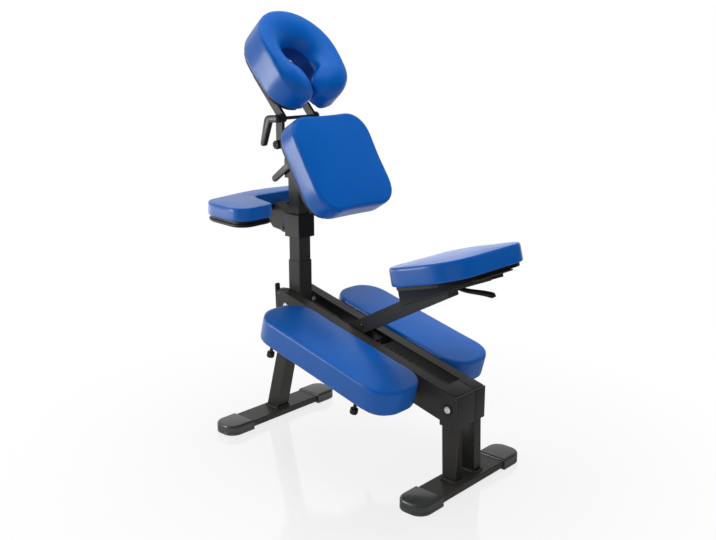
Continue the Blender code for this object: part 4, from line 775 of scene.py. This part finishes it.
def shade_opening(shape, middle, bottom):
    """Gives the lower wall of the opening the second material, a painted shade."""
    bmesh.ops.recalc_face_normals(shape, faces=shape.faces)
    for face in shape.faces:
        x, y, z = face.calc_center_median()
        inward = face.normal.x * x + face.normal.y * (y - middle) < 0.0
        beside = abs(x) < FACE_OPENING[0] + OPENING_SHADE_REACH and y - middle < FACE_OPENING[1] + OPENING_SHADE_REACH
        wall = abs(face.normal.z) < OPENING_SHADE_SLOPE and z < bottom + OPENING_SHADE_HEIGHT
        if inward and beside and wall:
            face.material_index = 1


def part_way(distance, reach):
    """How far a distance has come along a reach, from 0 to 1."""
    return min(1.0, max(0.0, distance) / reach)


def quarter_round(share):
    """How far a quarter circle has fallen at a share of its width."""
    return 1.0 - math.sqrt(1.0 - share**2)


def hollow_face(shape, middle, bottom):
    """Rolls the front of the face pad into its opening, and thins its lobes."""
    wide, tall = FACE_OPENING
    for vertex in shape.verts:
        across = abs(vertex.co.x)
        along = vertex.co.y - middle
        rings = max(LEAST_RING, math.hypot(across / wide, along / tall))  # 1 on the opening's outline
        from_ring = math.hypot(across, along) * (1.0 - 1.0 / rings)
        from_mouth = across - FACE_MOUTH if along < 0.0 else BOWL_REACH
        inward = 1.0 - part_way(min(from_ring, from_mouth), BOWL_REACH)
        bowl = 1.0 - BOWL_SHARE * quarter_round(inward)
        lobe = part_way(CHIN_START - along, CHIN_RUN)
        past = (across - CHIN_CORE[0], CHIN_CORE[1] - along)
        outside = math.hypot(max(0.0, past[0]), max(0.0, past[1])) + min(0.0, max(past))
        outward = 1.0 - part_way(CHIN_CORNER - outside, CHIN_REACH)
        chin = 1.0 - CHIN_SHARE * lobe * quarter_round(outward)
        vertex.co.z = bottom + (vertex.co.z - bottom) * bowl * chin
        tip = part_way(MOUTH_START - along, MOUTH_RUN)
        beside = 1.0 - part_way(across - FACE_MOUTH, MOUTH_REACH)
        vertex.co.x -= math.copysign(MOUTH_CLOSE * tip * beside**2, vertex.co.x)


print("mouth between the lobes:", round(2000 * (FACE_MOUTH - MOUTH_CLOSE), 1), "mm at the chin")

# %% [markdown]
# ## Finish the covers
# A stretched cover draws a pad's sides in a little between its corners. When that is done, the pads
# are turned back to their places and subdivided once. A narrow welt of the same vinyl covers the
# seam where a top panel meets its side band. A thin tube along a level cut through the roll makes it.

# %% Covers and welts
SMOOTH_PASSES = 1
WELT_RADIUS = 0.0008
WELT_DROP = 0.30  # how far down the rolled edge the seam lies, as a share of the roll


def tube(name, path, radius, closed=True, shares=None):
    """A bmesh of a tube along some points, with a share of the radius at each."""
    line = bpy.data.curves.new(name, "CURVE")
    line.dimensions = "3D"
    line.bevel_depth = radius
    line.bevel_resolution = 3
    line.use_fill_caps = not closed
    spline = line.splines.new("POLY")
    spline.points.add(len(path) - 1)
    for number, place in enumerate(path):
        spline.points[number].co = (*place, 1.0)
        spline.points[number].radius = shares[number] if shares else 1.0
    spline.use_cyclic_u = closed
    drawn = bpy.data.objects.new(name, line)
    scene.collection.objects.link(drawn)
    graph = bpy.context.evaluated_depsgraph_get()
    mesh = bpy.data.meshes.new_from_object(drawn.evaluated_get(graph))
    bpy.data.objects.remove(drawn)
    shape = bmesh.new()
    shape.from_mesh(mesh)
    return shape


def smoothed(shape, verts, passes):
    """Draws some points towards their neighbours."""
    for _ in range(passes):
        bmesh.ops.smooth_vert(
            shape, verts=verts, factor=0.5, use_axis_x=True, use_axis_y=True, use_axis_z=True
        )


for node, pad in PADS.items():
    shape = bmesh.new()
    shape.from_mesh(flat_pads[node].data)
    bpy.data.objects.remove(flat_pads[node])
    low = [min(v.co[i] for v in shape.verts) for i in range(3)]
    high = [max(v.co[i] for v in shape.verts) for i in range(3)]
    middle = (low[1] + high[1]) / 2
    smoothed(shape, shape.verts, SMOOTH_PASSES)
    for vertex in shape.verts:
        across, along = [2 * (vertex.co[i] - low[i]) / (high[i] - low[i]) - 1 for i in (0, 1)]
        vertex.co.x -= pad.pull * across**3 * (1 - along**2)
        vertex.co.y -= pad.pull * along**3 * (1 - across**2)
    parts = [shape]
    if node == "face_pad":
        hollow_face(shape, middle, low[2])
        smoothed(shape, [v for v in shape.verts if v.co.z > low[2] + BED], BOWL_PASSES)
        shade_opening(shape, middle, low[2])
    else:
        sliced = shape.copy()
        seam = evened(cut_ring(sliced, pad_tops[node] - WELT_DROP * pad.roll), VOXEL, RING_PASSES)
        sliced.free()
        parts.append(tube(node + "_welt", seam, WELT_RADIUS))
    for part in parts:
        lean(part, pad.slant)
    cover = make_piece(node + "_cover", shape, vinyl, pad.body, ROUND)
    if node == "face_pad":
        # the second material is the painted shade in the opening
        cover.data.materials.append(opening_shade)
    step = cover.modifiers.new("smooth", "SUBSURF")
    step.levels = 1
    step.render_levels = 1
    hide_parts(node)
    for welt in parts[1:]:
        make_piece(node + "_welt", welt, vinyl, pad.body, ROUND)
    print(node, "cover quads:", len(cover.data.polygons))

# %% [markdown]
# ## Helpers for hardware
# Bolts and washers are turned, so a spin makes them from half a section. Levers are flat bars with
# round ends, which is what a convex hull round some discs gives. A finished shape stands in for its
# CAD node and rides on the same body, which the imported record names.

# %% Turn, hull and join
SPIN_STEPS = 40
BAR_RIM = 0.28  # how much of a bar's width each rounded rim takes
FLAT = 0.01  # radians, the fold below which a hull's triangles are joined
body_of = {n: body for body, held in frame["record"]["behaviour"]["bodies"].items() for n in held}


def turned(profile):
    """A solid of revolution about Z from (radius, height) pairs that start and end on the axis."""
    shape = bmesh.new()
    line = [shape.verts.new((radius, 0.0, height)) for radius, height in profile]
    for lower, upper in zip(line, line[1:]):
        shape.edges.new((lower, upper))
    bmesh.ops.spin(
        shape,
        geom=shape.verts[:] + shape.edges[:],
        axis=UP,
        cent=(0.0, 0.0, 0.0),
        dvec=(0.0, 0.0, 0.0),
        angle=2 * math.pi,
        steps=SPIN_STEPS,
        use_merge=True,
    )
    bmesh.ops.remove_doubles(shape, verts=shape.verts, dist=MERGE)
    return shape


def put(shape, place, axis):
    """Turns a shape's Z towards an axis and moves it to a place."""
    turn = Vector(axis).to_track_quat("Z", "Y").to_matrix().to_4x4()
    bmesh.ops.transform(shape, matrix=Matrix.Translation(place) @ turn, verts=shape.verts)
    return shape


def joined(shapes):
    """One bmesh that holds several."""
    whole = bmesh.new()
    for shape in shapes:
        mesh = bpy.data.meshes.new("joined")
        shape.to_mesh(mesh)
        shape.free()
        whole.from_mesh(mesh)
        bpy.data.meshes.remove(mesh)
    return whole


def bar(discs, width):
    """A flat bar across X round discs of (y, z, radius), with rounded rims."""
    shape = bmesh.new()
    for y, z, radius in discs:
        for side in (-0.5, 0.5):
            turn = Matrix.Translation((side * width, y, z)) @ Matrix.Rotation(math.pi / 2, 4, "Y")
            bmesh.ops.create_circle(shape, segments=SPIN_STEPS, radius=radius, matrix=turn)
    hull = bmesh.ops.convex_hull(shape, input=shape.verts[:])
    spare = [v for v in hull["geom_interior"] if isinstance(v, bmesh.types.BMVert)]
    bmesh.ops.delete(shape, geom=spare, context="VERTS")
    loose = [e for e in shape.edges if not e.link_faces]
    bmesh.ops.delete(shape, geom=loose, context="EDGES")
    bmesh.ops.dissolve_limit(shape, angle_limit=FLAT, verts=shape.verts[:], edges=shape.edges[:])
    rims = [e for side in (-0.5, 0.5) for e in edges_at(shape, 0, side * width)]
    bevel(shape, rims, width * BAR_RIM, segments=4)
    return shape


def box_of(node):
    """A CAD node's lowest and highest corners."""
    return [Vector(corner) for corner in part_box(node)]


def centre_of(node):
    """The middle of a CAD node's box."""
    return sum(box_of(node), Vector()) / 2


def block_between(low, high):
    """A bmesh box between two corners."""
    shape = bmesh.new()
    bmesh.ops.create_cube(shape, size=1.0)
    bmesh.ops.scale(shape, verts=shape.verts, vec=high - low)
    move(shape, (low + high) / 2)
    return shape


def stand_in(node, shape, material):
    """A detailed piece in the place of a CAD node."""
    piece = make_piece(node + "_detail", shape, material, body_of[node])
    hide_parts(node)
    print(piece.name, "faces:", len(piece.data.polygons))


print("bodies that hold nodes:", len(set(body_of.values())))

# %% [markdown]
# ## Foot caps
# Moulded rubber caps slip over the ends of both foot bars. From above, each one ends in a half
# round, its top edge is well rounded, and a fine groove runs round it above the sole. The outer
# corners of a box are bevelled first, while it still has only four of them, and then the rims.

# %% Rubber foot caps
CAP_ROUND = 0.036
CAP_RIM = 0.008
CAP_SOLE = 0.002  # the rounding of its lower edge
SOLE_GROOVE = (0.0080, 0.0096)  # heights between which the groove runs
GROOVE_DEPTH = 0.0009
GROOVE_LIP = 0.0002

for node in sorted(n for n in nodes if "foot_cap" in n):
    low, high = box_of(node)
    outer = low.x if abs(low.x) > abs(high.x) else high.x
    cap = block_between(low, high)
    uprights = [e for e in edges_at(cap, 0, outer) if abs(e.verts[0].co.z - e.verts[1].co.z) > CAP_RIM]
    bevel(cap, uprights, CAP_ROUND, segments=12)
    bevel(cap, edges_at(cap, 2, high.z), CAP_RIM, segments=5)
    bevel(cap, edges_at(cap, 2, low.z), CAP_SOLE, segments=2)
    for height in SOLE_GROOVE:
        cut(cap, height)
    band = [f for f in cap.faces if SOLE_GROOVE[0] < f.calc_center_median().z < SOLE_GROOVE[1]]
    bmesh.ops.inset_region(cap, faces=band, thickness=GROOVE_LIP, depth=-GROOVE_DEPTH)
    stand_in(node, cap, rubber)

# %% [markdown]
# ## Rear posts
# The two rear posts run up between the walls of the beam, where they have to leave room for the
# seat's rack. Below the beam they are stouter. Two level cuts through a copy of each CAD post make a
# short step, and the inner face below it moves inwards.

# %% Stouter rear posts
POST_SWELL = 0.0085
SWELL_STEP = (0.178, 0.188)  # heights between which a post gets wider
STEP_SLACK = 1e-4
REAR_POSTS = ("rear_post_left", "rear_post_right")


def rear_post(node):
    """A rear post that is wider below the beam."""
    post = bmesh_of(node)
    middle = centre_of(node).x
    for height in SWELL_STEP:
        cut(post, height)
    inner = [v for v in post.verts if v.co.z < SWELL_STEP[0] + STEP_SLACK and abs(v.co.x) < abs(middle)]
    bmesh.ops.translate(post, verts=inner, vec=(-math.copysign(POST_SWELL, middle), 0.0, 0.0))
    return post


for node in REAR_POSTS:
    stand_in(node, rear_post(node), powder_coat)

# %% [markdown]
# ## Welds and bolts
# The posts are welded to their foot bars, and a weld leaves a rounded bead round the joint. A level
# cut through a post just above the bar gives the line for it. The hinge bolts have low domed heads
# with a dimple in the middle, and the rear one sits on a wide dark washer. Two pins have the same
# heads, but they are blackened.

# %% Weld beads, domed bolts and washers
WELD_RADIUS = 0.0030
WELD_LIFT = 0.0012
WELD_STEP = 0.003
WELD_PASSES = 3
BOLTS = ("rear_leg_bolt", "front_leg_bolt", "mast_bolt", "arm_pin", "seat_pin")
# shares of the head's radius, and depths below its highest point
DIMPLE = ((0.0, 0.0011), (0.26, 0.0011), (0.34, 0.0))
DOME = ((0.62, 0.0005), (0.88, 0.0017), (1.0, 0.0033), (0.96, 0.0040))
SHANK = ((0.6, 0.0041),)
WASHER = ((0.0, 0.0), (0.0160, 0.0), (0.0160, 0.0010), (0.0150, 0.0017), (0.0, 0.0017))

for node in (*REAR_POSTS, "front_post"):
    post = rear_post(node) if node in REAR_POSTS else bmesh_of(node)
    line = evened(cut_ring(post, box_of(node)[0].z + WELD_LIFT), WELD_STEP, WELD_PASSES)
    bead = tube(node + "_weld", line, WELD_RADIUS)
    make_piece(node + "_weld", bead, powder_coat, body_of[node], ROUND)

for node in BOLTS:
    low, high = box_of(node)
    half = (high.x - low.x) / 2
    wide = (high.y - low.y) / 2
    near_end = [(share * wide, half - drop) for share, drop in DIMPLE + DOME + SHANK]
    far_end = [(radius, -height) for radius, height in reversed(near_end)]
    finish = black_oxide if node.endswith("_pin") else zinc
    stand_in(node, put(turned(near_end + far_end), centre_of(node), RIGHT), finish)

wall = box_of("main_beam")[1].x
pivot = centre_of("rear_leg_bolt")
washers = [put(turned(WASHER), (side.x * wall, pivot.y, pivot.z), side) for side in (LEFT, RIGHT)]
make_piece("rear_bolt_washers", joined(washers), abs_plastic, "beam")

# %% [markdown]
# ## The rear end of the beam
# The end of the beam is closed by two moulded halves that meet right of the middle, and thin cover
# plates carry that joint forward over the top, up to the slot. Boxes with softened edges make them,
# with a real gap between them, because a gap catches a shadow that a painted line doesn't. A moulded
# plug closes the top of the mast in the same way.

# %% End cap, rear covers and mast plug
SEAM_X = 0.017
SEAM_GAP = 0.0016
END_EDGE = 0.0026
COVER_SPAN = (0.002, 0.047)  # along the beam from its rear edge
COVER_SINK = 0.001
COVER_THICK = 0.0013
COVER_EDGE = 0.0009
PLUG_SINK = 0.001
PLUG_RISE = 0.004
PLUG_EDGE = 0.003

low, high = box_of("beam_end_cap")
spans = ((low.x, SEAM_X - SEAM_GAP / 2), (SEAM_X + SEAM_GAP / 2, high.x))
halves = []
covers = []
for left, right in spans:
    half = block_between(Vector((left, low.y, low.z)), Vector((right, high.y, high.z)))
    bevel(half, edges_at(half, 1, low.y), END_EDGE, segments=4)
    halves.append(half)
    rear, front = COVER_SPAN
    plate = block_between(Vector((left, rear, -COVER_SINK)), Vector((right, front, COVER_THICK)))
    bevel(plate, edges_at(plate, 2, COVER_THICK), COVER_EDGE, segments=3)
    lean(plate, BEAM_LEAN)
    move(plate, (0.0, high.y, high.z))
    covers.append(plate)
stand_in("beam_end_cap", joined(halves), nylon)
make_piece("beam_rear_covers", joined(covers), powder_coat, "beam")

low, high = box_of("mast_inner_tube")
plug = block_between(Vector((low.x, low.y, high.z - PLUG_SINK)), high + PLUG_RISE * UP)
bevel(plug, edges_at(plug, 2, high.z + PLUG_RISE), PLUG_EDGE, segments=4)
make_piece("mast_top_plug", plug, abs_plastic, "upper_mast")

# %% [markdown]
# ## Knobs
# The knee pads are held by four screw knobs below them, and one more clamps the yoke. Each is a
# moulded knob with shallow lobes for grip, a rounded rim, a sunk top and a plain stem. A circle's
# points are drawn in and out by a cosine before the knob is extruded from it.

# %% Lobed knobs
LOBES = 9
LOBE_DEPTH = 0.14
KNOB_RIM = 0.0028
KNOB_FOOT = 0.0010
CROWN_RIM = 0.0022
CROWN_SINK = 0.0012
STEM_OVERLAP = 0.001
KNEE_KNOB = (0.011, 0.016, 0.005, 0.020)  # radius and height, then those of the stem
KNEE_KNOB_START = 0.018  # above the middle of the CAD knob
YOKE_KNOB = (0.013, 0.013, 0.006, 0.003)


def knob(radius, height, stem_radius, stem_length):
    """A lobed knob on a stem, along Z from the stem's foot."""
    head = bmesh.new()
    bmesh.ops.create_circle(head, cap_ends=True, segments=LOBES * 8, radius=radius)
    for vertex in head.verts:
        wave = math.cos(LOBES * math.atan2(vertex.co.y, vertex.co.x))
        vertex.co *= 1.0 - LOBE_DEPTH * (1.0 - wave) / 2
    extrude(head, head.faces[:], height * UP)
    bevel(head, edges_at(head, 2, height), KNOB_RIM, segments=4)
    bevel(head, edges_at(head, 2, 0.0), KNOB_FOOT, segments=2)
    crown = [f for f in head.faces if f.calc_center_median().z > height - MERGE]
    bmesh.ops.inset_region(head, faces=crown, thickness=CROWN_RIM, depth=-CROWN_SINK)
    move(head, stem_length * UP)
    end = stem_length + STEM_OVERLAP
    stem = turned([(0.0, 0.0), (stem_radius, 0.0), (stem_radius, end), (0.0, end)])
    return joined([head, stem])


slope = math.radians(BEAM_LEAN)
down = Vector((0.0, math.sin(slope), -math.cos(slope)))
for node in sorted(n for n in nodes if "knee_knob" in n):
    stand_in(node, put(knob(*KNEE_KNOB), centre_of(node) - down * KNEE_KNOB_START, down), abs_plastic)
foot = centre_of("yoke_knob")
foot.x = box_of("yoke_knob")[1].x
stand_in("yoke_knob", put(knob(*YOKE_KNOB), foot, LEFT), abs_plastic)

# %% [markdown]
# ## Flat levers
# Four levers release the joints. Those of the chest clamp and the mast lock are plain flat bars of
# nylon with round ends. A bar is the hull round two discs, one at the pivot and one at the tip. The
# chest lever also has a low boss over its pivot.

# %% Chest lever and mast lock
CHEST_BOSS = ((0.0, 0.0), (0.0075, 0.0), (0.0070, 0.0016), (0.0, 0.0022))
FLAT_LEVERS = {
    # node: degrees that its tip points up from straight ahead, length, radius at the pivot and the tip
    "chest_lever": (-36.0, 0.079, 0.011, 0.0100),
    "mast_lock_lever": (86.0, 0.068, 0.007, 0.0045),
}
for node, (rise, length, root, end) in FLAT_LEVERS.items():
    low, high = box_of(node)
    height = low.z + root if rise > 0.0 else high.z - root
    pivot = Vector(((low.x + high.x) / 2, low.y + root, height))
    tip = (length * math.cos(math.radians(rise)), length * math.sin(math.radians(rise)))
    lever = bar([(0.0, 0.0, root), (*tip, end)], high.x - low.x)
    if node == "chest_lever":
        boss = put(turned(CHEST_BOSS), (low.x - pivot.x) * RIGHT, LEFT)
        lever = joined([lever, boss])
    move(lever, pivot)
    stand_in(node, lever, nylon)

# %% [markdown]
# ## Cam lever
# The face cradle's clamp is an angled handle with a sunk panel and a low hub on its axle. It is cut
# from one outline and extruded. Each corner then gets its own radius, before the rims are rounded,
# because a bevel works best while the shape is still simple.

# %% Cam lever
CAM_RIM = 0.0030
CAM_PANEL = (0.0022, 0.0010)  # the panel's distance from the rim, and its depth
CAM_HUB = ((0.0, 0.0), (0.0070, 0.0), (0.0064, 0.0016), (0.0, 0.0020))
CAM_OUTLINE = (
    # y and z from the axle, and the corner's radius
    (-0.011, -0.011, 0.0100),
    (0.023, -0.011, 0.0060),
    (0.050, -0.082, 0.0070),
    (0.066, -0.079, 0.0078),
    (0.043, 0.008, 0.0150),
    (-0.011, 0.011, 0.0100),
)
low, high = box_of("cam_lever")
axle = centre_of("cradle_axle")
wide = high.x - low.x
lever = bmesh.new()
side = lever.faces.new([lever.verts.new((0.0, y, z)) for y, z, _ in CAM_OUTLINE])
extrude(lever, [side], wide * LEFT)
for y, z, radius in CAM_OUTLINE:
    corner = [e for e in edges_at(lever, 1, y) if all(abs(v.co.z - z) < MERGE for v in e.verts)]
    bevel(lever, corner, radius, segments=8)
for level in (0.0, -wide):
    bevel(lever, edges_at(lever, 0, level), CAM_RIM, segments=4)
panel = [f for f in lever.faces if abs(f.calc_center_median().x + wide) < MERGE]
bmesh.ops.inset_region(lever, faces=panel, thickness=CAM_PANEL[0], depth=-CAM_PANEL[1])
hub = put(turned(CAM_HUB), wide * LEFT, LEFT)
lever = joined([lever, hub])
move(lever, (high.x, axle.y, axle.z))
stand_in("cam_lever", lever, nylon)

# %% [markdown]
# ## Seat lever
# The seat's lever is a slender curved paddle on a roller. A Bezier curve of four points gives its
# path, and a tube along it gets thicker towards a rounded tip. Stretched across, the tube becomes a
# paddle. Its place is the joint's own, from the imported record.

# %% Seat lever
SEAT_LEVER_LENGTH = 0.120
SEAT_LEVER_CURVE = ((0.0, 0.0), (0.30, 0.17), (0.60, 0.13), (1.0, 0.28))  # back and down
SEAT_LEVER_RADIUS = 0.0062
SEAT_LEVER_STEPS = 16
PADDLE_SHARES = (0.95, 0.35)  # the radius at the root, and what it gains towards the tip
PADDLE_TIP = (3.6, 0.05)  # how fast the tip rounds off, and the least radius there
PADDLE_WIDTH = 1.35  # times its height
ROLLER_RADIUS = 0.0080
ROLLER_EDGE = 0.0012

corners = [SEAT_LEVER_LENGTH * Vector((0.0, -back, -fall)) for back, fall in SEAT_LEVER_CURVE]
path = interpolate_bezier(*corners, SEAT_LEVER_STEPS + 1)
shares = []
for number in range(SEAT_LEVER_STEPS + 1):
    t = number / SEAT_LEVER_STEPS
    tip = min(1.0, PADDLE_TIP[0] * math.sqrt(max(0.0, 1.0 - t)) + PADDLE_TIP[1])
    shares.append((PADDLE_SHARES[0] + PADDLE_SHARES[1] * t**2) * tip)
paddle = tube("seat_lever_paddle", path, SEAT_LEVER_RADIUS, False, shares)
bmesh.ops.scale(paddle, verts=paddle.verts, vec=(PADDLE_WIDTH, 1.0, 1.0))
low, high = box_of("seat_lever")
half = (high.x - low.x) / 2
upper = [(ROLLER_RADIUS, half - ROLLER_EDGE), (ROLLER_RADIUS - ROLLER_EDGE, half), (0.0, half)]
lower = [(radius, -height) for radius, height in reversed(upper)]
roller = put(turned(lower + upper), Vector(), RIGHT)
lever = joined([paddle, roller])
lean(lever, SEAT_LEAN)
joints = {joint["name"]: joint for joint in frame["record"]["behaviour"]["joints"]}
move(lever, joints["seat_release_turn"]["pos_m"])
stand_in("seat_lever", lever, abs_plastic)

# %% [markdown]
# ## Edging of the armrest
# The armrest's board has a round black edging round its lower edge. A level cut through the board
# gives its line, and a tube along it makes it.

# %% Round the armrest's board
EDGING_RADIUS = 0.0050
EDGING_STEP = 0.004
EDGING_PASSES = 4
EDGING_DROP = 0.0015
low, high = box_of("arm_board")
line = evened(cut_ring(bmesh_of("arm_board"), (low.z + high.z) / 2), EDGING_STEP, EDGING_PASSES)
line[:, 2] = low.z - EDGING_DROP
edging = tube("arm_board_edging", line, EDGING_RADIUS)
make_piece("arm_board_edging", edging, abs_plastic, "armrest", ROUND)
print("edging points:", len(line))

# %% [markdown]
# ## Seat plate
# The plate under the seat gets narrower towards the front, so that the pad hides it. The CAD plate
# is square there. A copy of it has its two front corners slid back along the plate's own slope.

# %% Tapered seat plate
PLATE_CUT = 0.058
PLATE_SLACK = 0.001
plate = bmesh_of("seat_bracket")
low, high = box_of("seat_bracket")
front = [v for v in plate.verts if v.co.y > (low.y + high.y) / 2]
corners = [v for v in front if abs(v.co.x) > high.x - PLATE_SLACK]
forward = Matrix.Rotation(math.radians(SEAT_LEAN), 3, "X") @ AHEAD
bmesh.ops.translate(plate, verts=corners, vec=-PLATE_CUT * forward)
stand_in("seat_bracket", plate, powder_coat)

# %% [markdown]
# ## Screws behind the pads
# The brackets behind the chest pad and under the seat are screwed to the boards. Each screw has a
# low round head with a sunk socket. A ray from below finds the bracket's surface and the way that it
# faces, so the heads sit on it without any measuring.

# %% Button-head screws
SCREW_HEAD = ((0.0, -0.0010), (0.0058, -0.0010), (0.0055, 0.0008), (0.0042, 0.0020), (0.0024, 0.0025))
SOCKET = ((0.0022, 0.0008), (0.0, 0.0008))
RAY_START = -0.3  # below the bracket
SCREWS = {
    # bracket: half the distance between its screws across and along, and the lean of its plate
    "chest_bracket": (0.042, 0.050, CHEST_LEAN),
    "seat_bracket": (0.060, 0.075, SEAT_LEAN),
}
for node, (across, along, slant) in SCREWS.items():
    surface = BVHTree.FromBMesh(bmesh_of(node))
    turn = Matrix.Rotation(math.radians(slant), 3, "X")
    heads = []
    for x, y in ((-across, along), (across, along), (-across, -along), (across, -along)):
        start = centre_of(node) + turn @ Vector((x, y, RAY_START))
        hit, normal = surface.ray_cast(start, turn @ UP)[:2]
        heads.append(put(turned(SCREW_HEAD + SOCKET), hit, normal))
    print(node, "screws:", len(heads))
    make_piece(node + "_screws", joined(heads), zinc, body_of[node])
